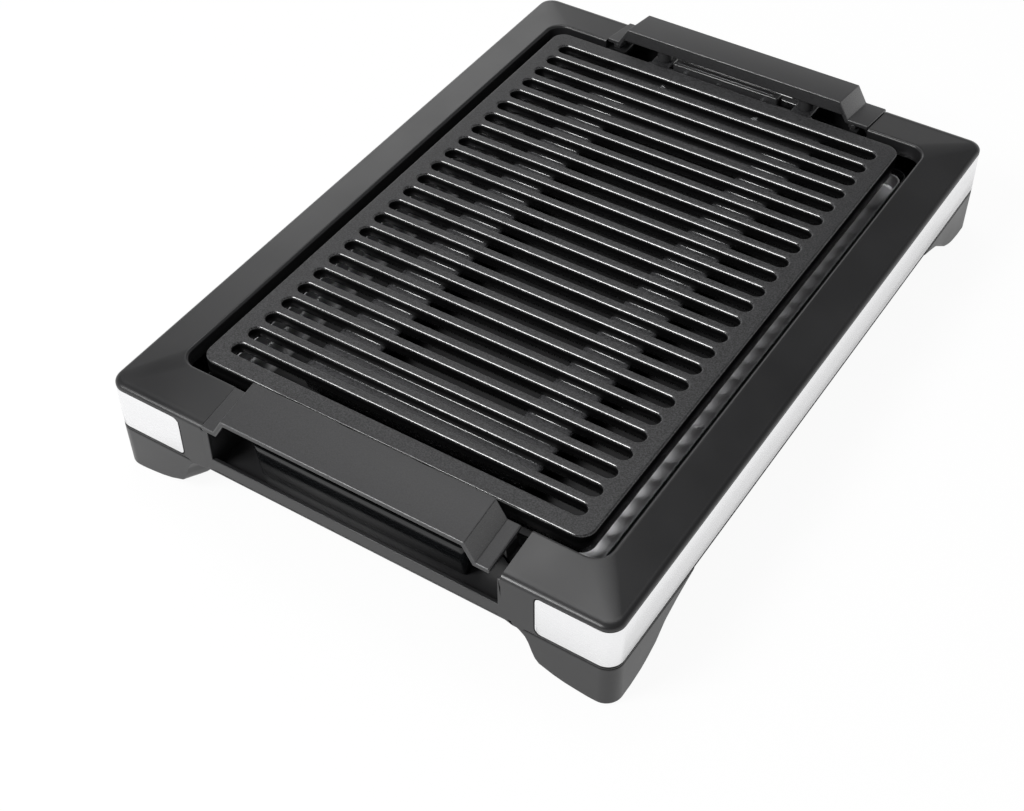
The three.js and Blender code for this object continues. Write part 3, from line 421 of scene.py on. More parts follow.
def moulded_phenolic(base):
    """Compression-moulded phenolic with a matte grain: greyer and drier than the housing, with
    a fine pepper of light and dark. Resin gathers at its edges, which are glossier."""
    # The real grain is about 0.2 mm; it is drawn at 0.7 mm so that it shows.
    material, tree, shader, place, share, upward, sheen = speckled(
        "moulded_phenolic", 1.5, {"Scale": per_metre(0.7), "Detail": 3.0, "Roughness": 0.7},
        spread=(0.35, 0.65), smoothness=(0.42, 0.24), grain=0.14, relief=0.05)
    sheen.default_value = 0.5
    add(tree, "ShaderNodeMix", {"data_type": "RGBA", "A": scaled(base, 0.7), "B": scaled(base, 1.35)},
        {"Factor": share}, {"Result": shader["Base Color"]})
    return material


def coated_casting(base):
    """Die-cast aluminium with a sprayed non-stick coating: near black with a granular sheen of
    tiny specks. The coating flows thin over the rounded edges, so they are smoother and gleam.
    The upright walls are dull, and their colour is painted near black as painted shade."""
    # The spray's droplets are about 0.3 mm; they are drawn at 0.9 mm so that they show.
    material, tree, shader, place, share, upward, sheen = speckled(
        "coated_cast_aluminium", 1.58, {"Scale": per_metre(0.9), "Detail": 3.0, "Roughness": 0.75},
        spread=(0.4, 0.64), smoothness=(0.42, 0.16), grain=0.15, relief=0.06)
    # Painted shade: upright faces keep only 6% of the colour so that the slot walls look shaded; faces
    # looking up keep all of it.
    painted_upright_shade = add(tree, "ShaderNodeMapRange", {"From Max": 0.6, "To Min": 0.06}, {"Value": upward})
    add(tree, "ShaderNodeMapRange", {"From Max": 0.6, "To Min": 0.06, "To Max": 0.4},
        {"Value": upward}, {"Result": sheen})
    # The heater channel's top lies 7 mm under the bars' tops; everything below the bars' tops is painted
    # 2.4 times paler, painted light against the shade between the bars.
    height = add(tree, "ShaderNodeSeparateXYZ", {}, {0: place["Object"]}).outputs["Z"]
    painted_channel_light = add(tree, "ShaderNodeMapRange", {"From Min": 60.7 * MM, "From Max": 61.2 * MM,
                                            "To Min": 2.4, "To Max": 1.0}, {"Value": height})
    # Painted light and shade together: paler below the bars' tops, near black on upright faces.
    painted_light_and_shade = add(tree, "ShaderNodeMath", {"operation": "MULTIPLY"},
               {0: painted_channel_light.outputs[0], 1: painted_upright_shade.outputs[0]})
    # The specks' real grain times that painted light and shade picks the colour between near black and
    # pale.
    lying = add(tree, "ShaderNodeMath", {"operation": "MULTIPLY"}, {0: share, 1: painted_light_and_shade.outputs[0]})
    add(tree, "ShaderNodeMix", {"data_type": "RGBA", "A": scaled(base, 0.15), "B": scaled(base, 4.8)},
        {"Factor": lying.outputs[0]}, {"Result": shader["Base Color"]})
    return material


def glossy_plastic(base):
    """Polished injection-moulded plastic: near black, with sharp reflections that waver a little
    with the wall's sink."""
    return mottled("polished_plastic", {"IOR": 1.5, "Specular IOR Level": 0.25},
                   {"Scale": per_metre(30)}, colours=(scaled(base, 0.7), scaled(base, 1.4)),
                   roughness=(0.06, 0.12), relief=(0.3, 0.2))[0]


def satin_steel(base):
    """Stainless sheet, brushed along its length: pale, with soft streaks that follow the strip."""
    # The brush lines are about 0.05 mm apart; they are drawn at 0.4 mm so that they show.
    return mottled("brushed_stainless", {"Metallic": 1.0}, {"Scale": per_metre(0.4), "Roughness": 0.6},
                   colours=(scaled(base, 0.93), base), roughness=(0.2, 0.3), relief=(0.4, 0.01),
                   stretch=(0.02, 0.02, 1.0))[0]


def rolled_sheet(base):
    """Rolled aluminium sheet, pressed to a pan: bright margins with faint rolling streaks and
    shallow waves. Its floor under the bars is painted dark as painted shade from the plate above."""
    material, tree, shader, place = mottled(
        "rolled_aluminium", {"Metallic": 1.0}, {"Scale": per_metre(0.8), "Roughness": 0.6},
        colours=(scaled(base, 0.85), base), roughness=(0.34, 0.4), stretch=(1.0, 0.03, 1.0))
    # The bright colour gives way to a painted shade, 5% of it, where the sheet lies flat under the bars.
    bright = shader["Base Color"].links[0].from_socket
    upward = add(tree, "ShaderNodeSeparateXYZ", {}, {0: place["Normal"]}).outputs["Z"]
    lying = add(tree, "ShaderNodeMapRange", {"From Min": 0.7, "From Max": 0.98}, {"Value": upward})
    across = add(tree, "ShaderNodeSeparateXYZ", {}, {0: place["Object"]}).outputs["X"]
    aside = add(tree, "ShaderNodeMath", {"operation": "ABSOLUTE"}, {0: across})
    under = add(tree, "ShaderNodeMapRange", {"From Min": 104 * MM, "From Max": 108 * MM,
                                             "To Min": 1.0, "To Max": 0.0},
                {"Value": aside.outputs[0]})
    # Painted shade: the flat floor under the bars gets 5% of the bright colour.
    painted_shade_under_bars = add(tree, "ShaderNodeMath", {"operation": "MULTIPLY"},
                 {0: lying.outputs[0], 1: under.outputs[0]})
    add(tree, "ShaderNodeMix", {"data_type": "RGBA", "B": scaled(base, 0.05)},
        {"A": bright, "Factor": painted_shade_under_bars.outputs[0]}, {"Result": shader["Base Color"]})
    wave = add(tree, "ShaderNodeTexNoise", {"Scale": per_metre(40)}, {"Vector": place["Object"]})
    add(tree, "ShaderNodeBump", {"Strength": 0.04, "Distance": 0.2 * MM},
        {"Height": wave.outputs[0]}, {"Normal": shader["Normal"]})
    return material


def zinc_steel():
    """Zinc-plated steel of screws, pins and sheath: grey-white metal, slightly clouded."""
    return mottled("zinc_plated_steel", {"Metallic": 1.0}, {"Scale": per_metre(2)},
                   colours=(linear("#a9aaad"), linear("#d8d9db")), roughness=(0.2, 0.4))[0]


def steatite():
    """Pressed steatite ceramic: off-white and dull, with fine pores."""
    return mottled("steatite_ceramic", {"IOR": 1.6}, {"Scale": per_metre(0.6), "Detail": 3.0},
                   colours=(linear("#c9c5bb"), linear("#e6e3dc")), roughness=(0.4, 0.6),
                   relief=(0.5, 0.03))[0]


def rubber():
    """Moulded rubber: deep dull black with a soft dusty bloom."""
    return mottled("moulded_rubber", {"IOR": 1.52}, {"Scale": per_metre(4), "Detail": 3.0},
                   colours=(linear("#141414"), linear("#262625")), roughness=(0.7, 0.9))[0]


FINISHES = {}


def finish(slot):
    """The finish of a slot, made once from the colours that the user set."""
    if slot not in FINISHES:
        look = bpy.context.scene.grill_colours
        makers = {"housing_plastic": (moulded_abs, look.plastic),
                  "handle_phenolic": (moulded_phenolic, look.phenolic),
                  "coated_casting": (coated_casting, look.coating),
                  "tray_plastic": (glossy_plastic, look.gloss),
                  "trim_steel": (satin_steel, look.steel),
                  "liner_aluminium": (rolled_sheet, look.sheet),
                  "screw_steel": (zinc_steel,), "insulator_ceramic": (steatite,),
                  "foot_rubber": (rubber,)}
        maker, *base = makers[slot]
        FINISHES[slot] = maker(*base)
    return FINISHES[slot]


# Housing and its strips

# Where a strip starts beside the opening, and the radii of its upper and lower corner
STRIPS = {-1: {"end": 111.1, "top": 4.0, "bottom": 2.8}, 1: {"end": 114.4, "top": 2.6, "bottom": 3.6}}
# Its sheet, the rolling of its edges, its gap above the wall's foot, and the dark seam round it
STRIP_SHEET, STRIP_ROLL, STRIP_LIFT, SEAM = 0.8, 0.35, 0.35, 0.7
# Half widths of the end openings and of the notches above them, and the notches' floor
OPENING, NOTCH, NOTCH_FLOOR = {-1: 90.0, 1: 92.6}, {-1: 94.6, 1: 94.5}, 59.9
# Tops of the lips under the openings, front and rear, and of the cheeks' seats, left and right
LIP_TOP, SEAT_TOP = {-1: 40.0, 1: 45.5}, {-1: NOTCH_FLOOR, 1: 50.0}
# The plug's notch in the rear wall: its two ends, and the wall's height beside it
PLUG_NOTCH, REAR_WALL_TOP = (-46, 30), 56
# The slanted crease at a cheek's foot, in x and z
CREASE = [(101, 28.7), (106, 28.7), (111.2, 31.9), (111.2, 33.4)]
# How near the middle the handle's rests reach, their tops, and where they lie along the grill
LEDGE_END, LEDGE_TOP, LEDGE_Y = 81.5, 60.5, (197, 208)
# Half sizes of the plate's well, its corner radius and the depth of its edge
WELL_X, WELL_Y, WELL_RADIUS, WELL_DEPTH = 133.8, 193.75, 10.0, 10.9
# The wall's thickness, its top, and how far the shoulder reaches in from there
WALL, WALL_TOP, SHOULDER_X, SHOULDER_Y = 2.4, 60.5, 3.2, 5.0
CORNER_STEPS = 14


def corner_radius():
    """Radius of the body's upright corners in millimetres, as the user set it."""
    return bpy.context.scene.grill_housing.corner_radius / MM


def side_path(half_x, half_y, radius, stations, side):
    """Half of a rounded rectangle from the front opening round one side to the rear opening: the
    stations along the front, a corner arc, the side and its mirror image."""
    corner = arc((half_x - radius, radius - half_y), radius, -90, 0, CORNER_STEPS)
    start = NOTCH[side]
    squeeze = (half_x - radius - start) / (BODY_X - corner_radius() - start)
    front = start + (stations - start) * squeeze
    run = np.concatenate([np.column_stack([front, np.full(len(front), -half_y)]), corner])
    return np.concatenate([run, run[::-1] * [1, -1]]) * [side, 1]


def carried(front, flank):
    """Values along the front, one value round the corner, and the same mirrored to the rear."""
    corner = np.full(CORNER_STEPS + 1, flank)
    return np.concatenate([front, corner, corner, front[::-1]])


def strip_edges(x, side, clear):
    """Lower and upper edge of the strip, or of its recess, at places x along the front, its corners
    following quarter circles: edge = radius minus the root of radius squared less distance squared."""
    strip = STRIPS[side]
    inside = x - (strip["end"] - clear)
    edge = []
    for radius in (strip["bottom"] + clear, strip["top"] + clear):
        away = np.clip(radius - inside, 0, radius)
        edge.append(radius - np.sqrt(np.maximum(radius ** 2 - away ** 2, 0)))
    low = np.maximum(WALL_FOOT + 0.01, WALL_FOOT + STRIP_LIFT - clear + edge[0])
    return low, STRIP_TOP + clear - edge[1]


def strip_stations(side, clear):
    """Places along the front, dense where the strip's corners are round: the first ones lie at
    powers 1.6 of equal shares."""
    strip = STRIPS[side]
    dense = strip["end"] - clear + np.linspace(0, 1, 9) ** 1.6 * (strip["top"] + 1.5)
    return np.concatenate([dense, [125.0, 140.0]])


def rim_half(side, sizes):
    """One side of the housing: its cross-section carried from the front opening round to the rear.
    The section goes up the outer wall with the strip's recess, over the shoulder's quarter
    ellipse, up the sloped rim, round the lip into the well, and back down inside."""
    radius = corner_radius()
    top, shoulder, lip = sizes.rim_rise / MM, sizes.shoulder_top / MM, sizes.lip_radius / MM
    recess = STRIP_SHEET + SEAM
    dense = strip_stations(side, SEAM)
    stations = np.concatenate([[NOTCH[side], dense[0] - 0.01], dense])
    low, high = strip_edges(stations, side, SEAM)
    low, high = carried(low, WALL_FOOT), carried(high, STRIP_TOP + SEAM)
    depth = carried(np.where(stations >= dense[0], recess, 0.0), recess)

    def row(half_x, half_y, radius, z):
        """The path round the side, at a height."""
        return level(side_path(half_x, half_y, radius, stations, side), z)

    def outer(inset_x, inset_y, z):
        """The outer wall's path set in."""
        return row(BODY_X - inset_x, BODY_Y - inset_y, radius - inset_x, z)

    def sunk(z):
        """The outer wall's path set in by the recess."""
        path, inner = outer(0, 0, z), outer(1, 1, z)
        return path + (inner - path) * depth[:, None]

    def well(out, z):
        """The well's path moved outwards."""
        return row(WELL_X + out, WELL_Y + out, WELL_RADIUS + out, z)

    rows = [outer(0, 0, WALL_FOOT), outer(0, 0, low), sunk(low), sunk(high), outer(0, 0, high),
            outer(0, 0, WALL_TOP - 0.3)]
    for angle in np.radians(np.linspace(0, 90, 9)):
        rolled = 1 - math.cos(angle)
        rows.append(outer(SHOULDER_X * rolled, SHOULDER_Y * rolled,
                          WALL_TOP + (shoulder - WALL_TOP) * math.sin(angle)))
    start = np.array([BODY_X - SHOULDER_X, BODY_Y - SHOULDER_Y, radius - SHOULDER_X, shoulder])
    end = np.array([WELL_X + lip, WELL_Y + lip, WELL_RADIUS + lip, top])
    rows += [row(*(start + (end - start) * share)) for share in (0.02, 0.5, 0.97)]
    for angle in np.radians(np.linspace(0, 90, 7)):
        rows.append(well(lip * (1 - math.sin(angle)), top - lip * (1 - math.cos(angle))))
    foot, inner = top - WELL_DEPTH, recess + WALL
    rows += [well(0, foot + 0.5), well(0.5, foot), well(WALL - 0.5, foot), well(WALL, foot + 0.5),
             well(WALL, top - WALL - 0.6), outer(inner, inner, shoulder - WALL - 0.6),
             outer(inner, inner, WALL_FOOT)]
    return shell(np.array(rows).transpose(1, 0, 2))


def end_frame(sign):
    """The wall under one end opening with its cheeks: outlines in x and z, run through the wall's
    thickness, their edges rounded. Below, each cheek runs down to the foot and ends there in a
    slanted crease."""
    near, far = between(sign, BODY_Y - WALL, BODY_Y - 0.02)
    left, right = -OPENING[-1] - 3, OPENING[1] + 3
    lip = [(left, WALL_FOOT), (right, WALL_FOOT), (right, LIP_TOP[sign]), (left, LIP_TOP[sign])]
    skins = [prism(rounded(lip, 0.5, 4), near + 0.01, far - 0.01, 0.4, "xzy")]
    if sign > 0:
        for x0, x1 in ((left + 1, PLUG_NOTCH[0]), (PLUG_NOTCH[1], right - 1)):
            skins.append(block(x0, x1, near + 0.02, far - 0.02, 40, REAR_WALL_TOP, 0.5))
    for side in SIDES:
        inner, outer = OPENING[side], NOTCH[side] + 2
        cheek = [(inner, WALL_FOOT), *CREASE, (outer, CREASE[-1][1]), (outer, NOTCH_FLOOR),
                 (inner, NOTCH_FLOOR)]
        skins.append(prism(rounded(np.array(cheek) * [side, 1], 0.5, 4), near, far, 0.4, "xzy"))
    return skins


def end_webs(side, sign):
    """The cheek's inner wall beside the opening, its seat for the handle, and the web that closes
    the rim's hollow behind it: an outline in y and z, run along x."""
    low, inner, outer = WALL_FOOT + 1, WELL_Y + 0.05, BODY_Y - 0.3
    seat = block(*between(side, OPENING[side], NOTCH[side] + 2), *between(sign, WELL_Y, BODY_Y - 1.5),
                 low, SEAT_TOP[side], 0.5)
    web = np.array([(outer, low), (outer, 59.5), (BODY_Y - 1.8, 61.8), (BODY_Y - 5.2, 63.0),
                    (WELL_Y + 2, 64.9), (inner, 64.2), (inner, low)]) * [sign, 1]
    thickness = between(side, NOTCH[side] + 0.02, NOTCH[side] + WALL)
    return [seat, prism(web, *thickness, 0.02, "yzx", 1)]


def rest_ledge(side, sign):
    """The bracket on which a peg of the handle rests: a gusset outline in x and z."""
    root = OPENING[side] + 0.6
    corners = [(root, LEDGE_TOP)] if side < 0 else [(root, 52), (87.6, 52), (87, LEDGE_TOP)]
    corners += [(LEDGE_END, LEDGE_TOP), (LEDGE_END, LEDGE_TOP - 3), (root, LEDGE_TOP - 12)]
    outline = rounded(np.array(corners) * [side, 1], 0.6, 3)
    return prism(outline, *between(sign, *LEDGE_Y), 0.5, "xzy", 2)


def strip_shell(side):
    """A trim strip: the wall's path from the front round to the rear, a thin section whose upper
    and lower edge are rolled and follow the strip's round ends."""
    stations = strip_stations(side, 0.0)
    low, high = strip_edges(stations, side, 0.0)
    low, high = carried(low, low[-1]), carried(high, STRIP_TOP)
    roll, bent = STRIP_ROLL, STRIP_ROLL * 0.3
    section = [(0, low + roll), (0, high - roll), (bent, high - bent), (roll, high),
               (STRIP_SHEET, high), (STRIP_SHEET, low), (roll, low), (bent, low + bent)]
    rows = [level(side_path(BODY_X - depth, BODY_Y - depth, corner_radius() - depth, stations, side), z)
            for depth, z in section]
    return shell(np.array(rows).transpose(1, 0, 2))


class GRILL_OT_housing(bpy.types.Operator):
    """Moulded upper housing with its sloped rim, cheeks and lips"""
    bl_idname = "grill.housing"
    bl_label = "Upper housing"

    def execute(self, context):
        skins = [rim_half(side, context.scene.grill_housing) for side in SIDES]
        for sign in ENDS:
            skins += end_frame(sign)
            for side in SIDES:
                skins += [*end_webs(side, sign), rest_ledge(side, sign)]
        for side in SIDES:
            for sign in ENDS:
                boss = [(4.5, 33.1), (4.5, 63.5)]
                skins.append(lathe(boss, side * HOUSING_SCREW_X, sign * HOUSING_SCREW_Y))
        make_piece("moulded_housing", skins, "base", "housing_plastic", "upper_housing")
        return {"FINISHED"}


class GRILL_OT_strips(bpy.types.Operator):
    """Satin steel strips round both sides"""
    bl_idname = "grill.strips"
    bl_label = "Trim strips"

    def execute(self, context):
        for side, name in SIDES.items():
            make_piece(f"steel_strip_{name}", [strip_shell(side)], "base", "trim_steel",
                       f"{name}_trim_strip")
        return {"FINISHED"}


# Base pan and feet

# Underside of the pan, top of its thin edge, and the top that lies inside the wall
PAN_LOW, PAN_EDGE, PAN_TOP = 30.2, 31.3, 32.8
PAD_X, PAD_Y = 138, 203
# Up a foot: height and distance from the middle of its free edge, seen from the front and the side
FRONT_ARCH = [(1.0, 150.0), (1.8, 143.0), (3.0, 133.0), (5.0, 125.0), (8.3, 116.5), (11.0, 114.2),
              (15.0, 112.5), (21.0, 110.5), (25.0, 108.5), (28.3, 105.0), (30.4, 101.0), (31.4, 95.0)]
SIDE_ARCH = [(1.0, 212.0), (1.8, 206.0), (3.0, 197.5), (5.3, 191.0), (9.6, 182.5), (14.0, 178.0),
             (18.1, 173.6), (23.7, 162.0), (28.0, 150.0), (31.4, 139.0)]
# Up a foot: height and how far it is set in, by the draft and by the groove under the pan's edge
FOOT_INSET = [(1.0, 1.0), (1.15, 0.6), (1.6, 0.4), (29.3, 0.02), (29.6, 0.1), (29.7, 0.3),
              (29.75, 1.0), (31.0, 1.0)]


def foot_shell(side, sign):
    """A foot: at each height a rounded corner outline whose two free edges follow the arches seen
    from the front and from the side. Its inner edge is smoothed by thrice averaging neighbours."""
    heights, insets = np.transpose(FOOT_INSET)
    radius = corner_radius()
    rings = []
    for z in np.concatenate([heights[:2], np.linspace(heights[2], heights[3], 34), heights[4:]]):
        depth = np.interp(z, heights, insets)
        x, y = BODY_X - depth, BODY_Y - depth
        front, flank = [np.interp(z, *np.transpose(arch)) for arch in (FRONT_ARCH, SIDE_ARCH)]
        inner = np.array([(front, y), (front - 3, y - 5), (front - 12, y - 19), (x - 19, flank - 12),
                          (x - 5, flank - 3), (x, flank)])
        fine = np.concatenate([*np.linspace(inner[:-1], inner[1:], 5, axis=1)[:, :-1], inner[-1:]])
        for turn in range(3):
            fine[2:-2] = (fine[1:-3] + 2 * fine[2:-2] + fine[3:-1]) / 4
        outline = np.concatenate([arc((x - radius, y - radius), radius, 0, 90, 12), fine])
        rings.append((outline * [side, sign], z))
    return stacked(rings)


def pan_slab():
    """The pan's flat floor, its thin edge set back above."""
    section = [(0.8, PAN_LOW), (0.3, PAN_LOW), (0.06, PAN_LOW + 0.25), (0.06, PAN_EDGE - 0.25),
               (0.3, PAN_EDGE), (3.9, PAN_EDGE), (3.9, PAN_TOP - 0.2), (4.2, PAN_TOP)]
    return stacked([(rectangle(BODY_X - depth, BODY_Y - depth, corner_radius() - depth, 14), z)
                    for depth, z in section])


class GRILL_OT_base(bpy.types.Operator):
    """Moulded base pan with four feet and their rubber pads"""
    bl_idname = "grill.base"
    bl_label = "Base pan"

    def execute(self, context):
        skins = [pan_slab()] + [foot_shell(side, sign) for side in SIDES for sign in ENDS]
        make_piece("moulded_base", skins, "base", "housing_plastic", "base_pan")
        pad = [(0, 0), (8.0, 0), (8.7, 0.25), (9.0, 0.9), (9.0, 3.0), (0, 3.0)]
        for side, left in SIDES.items():
            for sign, end in ENDS.items():
                make_piece(f"rubber_pad_{end}_{left}", [lathe(pad, side * PAD_X, sign * PAD_Y)],
                           "base", "foot_rubber", f"{end}_{left}_foot_pad")
        return {"FINISHED"}


# Grill plate

SLOTS, PITCH = 24, 14.8
SLOT_Y = (np.arange(SLOTS) - (SLOTS - 1) / 2) * PITCH
# Each slot is cut into a cell; all cells together are the field inside the plate's border.
CELL_X, CELL_Y, FIELD_Y = 116.2, PITCH / 2, SLOTS * PITCH / 2
PLATE_TOP, BAR_LOW, SKIRT_LOW = 67.3, 59.3, 53.6
# Half length of the plate's border, its corner radius, its rounded edge, and points round a corner
BORDER_Y, BORDER_RADIUS, BORDER_EDGE, FAN = 186.55, 9, 1.5, 10
# Stations along a slot's straight, in shares of it, and round its end, in degrees
STRAIGHT, TURN = np.linspace(-1, 1, 13)[1:-1], np.linspace(-90, 90, 17)
# The heater channel's two legs and its cross run at the front, and the fillets at the bars
CHANNEL_X, CHANNEL_HALF, CHANNEL_LOW = 61.0, 15.25, 47.5
CROSS_FRONT, CROSS_REAR, CROSS_HALF, LEG_END = -163.0, -131.0, 76.0, 158.0
CHANNEL_REAR, FILLET_RADIUS, FILLET_FADE = 182.0, 0.9, 3.4
# The casting's blocks: x from and to, y from and to, z from and to, edge radius
CAST_BLOCKS = {"front lug": (-49, 27, -214, -183, 57.6, 61.6, 0.9),
               "left ear": (PLATE_X - 58, PLATE_X - 44.5, 183, 209, 57, 61, 0.8),
               "right ear": (PLATE_X + 44.5, PLATE_X + 58, 183, 209, 57, 61, 0.8),
               "terminal shelf": (-52, 36, 160, 207, 49, 52.5, 0.9),
               "shelf's root": (-52, 36, 160, 185.7, 49.2, 59.8, 0.6),
               "rear ledge": (-62, 57, 184, 195, 58.2, 61.4, 0.8),
               "left bracket": (-60, -47.5, 203, 208.6, 50.5, 60.4, 0.8),
               "right bracket": (28, 46, 203, 208.6, 50.5, 60.4, 0.8)}


def slot_ring(sizes, rear, front):
    """The slot's stadium outline, grown outwards by one distance over the rear edge of a bar and by
    another over the front edge of the next; round the ends they blend with the normal's y."""
    radius = sizes.slot_width / MM / 2
    reach = sizes.slot_length / MM / 2 - radius
    bend = arc((0, 0), 1, -90, 90, len(TURN) - 1)
    top = np.column_stack([-STRAIGHT * reach, np.full(len(STRAIGHT), radius)])
    up = np.tile([0.0, 1.0], (len(STRAIGHT), 1))
    right = bend * radius + [reach, 0]
    normal = np.concatenate([bend, up, -bend, -up])
    share = (normal[:, 1:] + 1) / 2
    return np.concatenate([right, top, -right, -top]) + normal * (rear + (front - rear) * share)


def cell_ring(sizes):
    """The cell's rectangle with stations matching the slot's: round the slot's end they run along
    the short side up to 45 degrees, and along the long side beyond."""
    reach = (sizes.slot_length - sizes.slot_width) / MM / 2
    beyond = np.clip((90 - abs(TURN)) / 45, 0, 1)
    right = np.column_stack([reach + beyond * (CELL_X - reach), np.clip(TURN / 45, -1, 1) * CELL_Y])
    top = np.column_stack([-STRAIGHT * reach, np.full(len(STRAIGHT), CELL_Y)])
    return np.concatenate([right, top, -right, -top])


def slot_cells(sizes):
    """All slots: from the cell's rectangle on top, over the fillet, down the wall and out to the
    rectangle below. The fillet's inset is radius times one minus sine, its drop one minus cosine."""
    fillet = np.array([sizes.rear_fillet, sizes.front_fillet]) / MM
    cell = cell_ring(sizes)
    drop = np.linalg.norm(slot_ring(sizes, *fillet) - slot_ring(sizes, 0, 0), axis=1)
    rows = [(cell, PLATE_TOP), (slot_ring(sizes, *(fillet + 0.15)), PLATE_TOP)]
    for angle in np.radians(np.linspace(0, 90, 7)):
        rows.append((slot_ring(sizes, *fillet * (1 - math.sin(angle))),
                     PLATE_TOP - drop * (1 - math.cos(angle))))
    rows += [(slot_ring(sizes, grow, grow), BAR_LOW + rise)
             for grow, rise in ((0, 0.8), (0.3, 0.2), (0.8, 0))]
    skin = open_skin(rows + [(cell, BAR_LOW)])
    return [moved(skin, [PLATE_X, middle, 0]) for middle in SLOT_Y]


def field_sides(sizes):
    """Right and top side of all cells together, as shares of the field's half sizes."""
    cell = cell_ring(sizes)
    side_y = cell[cell[:, 0] > CELL_X - 1e-6][:, 1]
    side_y = np.unique(np.round(np.add.outer(SLOT_Y, side_y), 6)) / FIELD_Y
    top_x = np.unique(np.round(cell[cell[:, 1] > CELL_Y - 1e-6][:, 0], 6))[::-1] / CELL_X
    return (np.column_stack([np.ones(len(side_y)), side_y]),
            np.column_stack([top_x, np.ones(len(top_x))]))


def border_ring(sides, half_x, half_y, radius):
    """A rounded rectangle with the stations of the field's sides and a fan of points round each
    corner: the corner's centre plus the radius times (cos, sin)."""
    right, top = sides[0] * [half_x, half_y - radius], sides[1] * [half_x - radius, half_y]
    bend = arc((half_x - radius, half_y - radius), radius, 0, 90, FAN + 1)[1:-1]
    mirror = bend[::-1] * [-1, 1]
    return np.concatenate([right, bend, top, mirror, -right, -bend, -top, -mirror])


def plate_border(sizes):
    """The plate outside its slots: flat top, rounded edge, drafted skirt, its foot and the inside
    of the skirt back to the underside."""
    sides = field_sides(sizes)
    field = border_ring(sides, CELL_X, FIELD_Y, 0)
    section = [(BORDER_EDGE + 0.3, PLATE_TOP)]
    for angle in np.radians(np.linspace(90, 0, 7)):
        section.append((BORDER_EDGE * (1 - math.cos(angle)),
                        PLATE_TOP - BORDER_EDGE * (1 - math.sin(angle))))
    section += [(0.5, SKIRT_LOW + 0.6), (0.75, SKIRT_LOW + 0.15), (1.1, SKIRT_LOW), (3.6, SKIRT_LOW),
                (4.2, SKIRT_LOW + 0.6), (5.0, BAR_LOW + 0.6), (5.6, BAR_LOW)]
    rows = [(border_ring(sides, PLATE_HALF - depth, BORDER_Y - depth, BORDER_RADIUS - min(depth, 5)), z)
            for depth, z in section]
    points, quads = open_skin([(field, PLATE_TOP), *rows, (field, BAR_LOW)])
    return points + [PLATE_X, 0, 0], quads[:, ::-1]


def channel_run(x0, x1, y0, y1, top):
    """One straight run of the cast heater channel: drafted sides, rounded long edges."""
    section = [(4.3, CHANNEL_LOW), (3.3, CHANNEL_LOW + 0.4), (2.6, CHANNEL_LOW + 1.5), (0.5, top - 2.2),
               (0.7, top - 1.2), (1.2, top - 0.5), (2.0, top - 0.12), (2.8, top), (4.0, top)]
    run = stacked([(rectangle((x1 - x0) / 2 - depth, (y1 - y0) / 2 - depth, 4.0, 5), z)
                   for depth, z in section])
    return moved(run, [PLATE_X + (x0 + x1) / 2, (y0 + y1) / 2, 0])


def root_fillet(x0, x1, y, toward, top):
    """The concave fillet where the channel meets a bar's wall: a quarter hollow run along x, its
    radius fading with the root of the distance from each end."""
    ends = np.array([0, 0.5, 1.2, 2.2, FILLET_FADE])
    x = np.concatenate([x0 + ends, x1 - ends[::-1]])
    fade = np.clip(np.minimum(x - x0, x1 - x) / FILLET_FADE, 0.02, 1)[:, None] ** 0.5
    angle = np.radians(np.linspace(0, 90, 7))
    across = np.concatenate([1 - np.sin(angle), [0.0, -0.35, -0.35, 1.0]])
    rise = np.concatenate([1 - np.cos(angle), [1.0, 1.0, -0.5, -0.5]])
    drop = 0.02 + 2.4 * (1 - fade)
    grid = np.stack([np.broadcast_to(x[:, None], (len(x), len(rise))),
                     y + toward * FILLET_RADIUS * fade * across,
                     top - drop + FILLET_RADIUS * fade * rise], -1)
    return moved(shell(grid), [PLATE_X, 0, 0])


def heater_channel(sizes):
    """The U-shaped channel under the bars, with a fillet at each wall that it crosses."""
    top = PLATE_TOP - sizes.channel_drop / MM
    legs = [(side * CHANNEL_X - CHANNEL_HALF, side * CHANNEL_X + CHANNEL_HALF) for side in SIDES]
    cross = (-CROSS_HALF, CROSS_HALF)
    skins = [channel_run(*leg, CROSS_FRONT + 2, LEG_END, top) for leg in legs]
    skins += [channel_run(*cross, CROSS_FRONT, CROSS_REAR, top - 0.04),
              channel_run(*cross, LEG_END - 2 * CHANNEL_HALF, CHANNEL_REAR, top - 0.05)]
    for middle in SLOT_Y:
        for toward in (-1, 1):
            wall = middle - toward * sizes.slot_width / MM / 2
            if CROSS_FRONT + 3 <= wall <= LEG_END:
                crossing = CROSS_FRONT + 2 < wall < CROSS_REAR - 2
                skins += [root_fillet(x0 + 0.8, x1 - 0.8, wall, toward, top)
                          for x0, x1 in ([cross] if crossing else legs)]
    return skins


class GRILL_OT_plate(bpy.types.Operator):
    """Cast grill plate with its slots, skirt, heater channel, lug, ears and shelf"""
    bl_idname = "grill.plate"
    bl_label = "Grill plate"

    def execute(self, context):
        sizes = context.scene.grill_plate
        skins = [merged(slot_cells(sizes) + [plate_border(sizes)])] + heater_channel(sizes)
        skins += [block(*measures) for measures in CAST_BLOCKS.values()]
        make_piece("cast_plate", skins, "grill", "coated_casting", "grill_plate")
        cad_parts["heating_element"].material_slots[0].material = finish("screw_steel")
        return {"FINISHED"}


# Handles

HANDLE_OUTER, HANDLE_INNER = 225.0, 195.5
# Thickness of the arch, and the heights of its flange and of its top's outer and inner edge
HANDLE_WALL, FLANGE_Z, CREST_Z, INNER_CREST_Z = 3.0, 63.3, 74.3, 79.0
SLOPE = (INNER_CREST_Z - CREST_Z) / (HANDLE_OUTER - HANDLE_INNER)
# How far the right flange reaches from the plate's middle, and the foot of the screw bosses
FLANGE_END, BOSS_LOW = {-1: 91.2, 1: 96.7}, {-1: 61.9, 1: 61.3}
WEB = 2.4


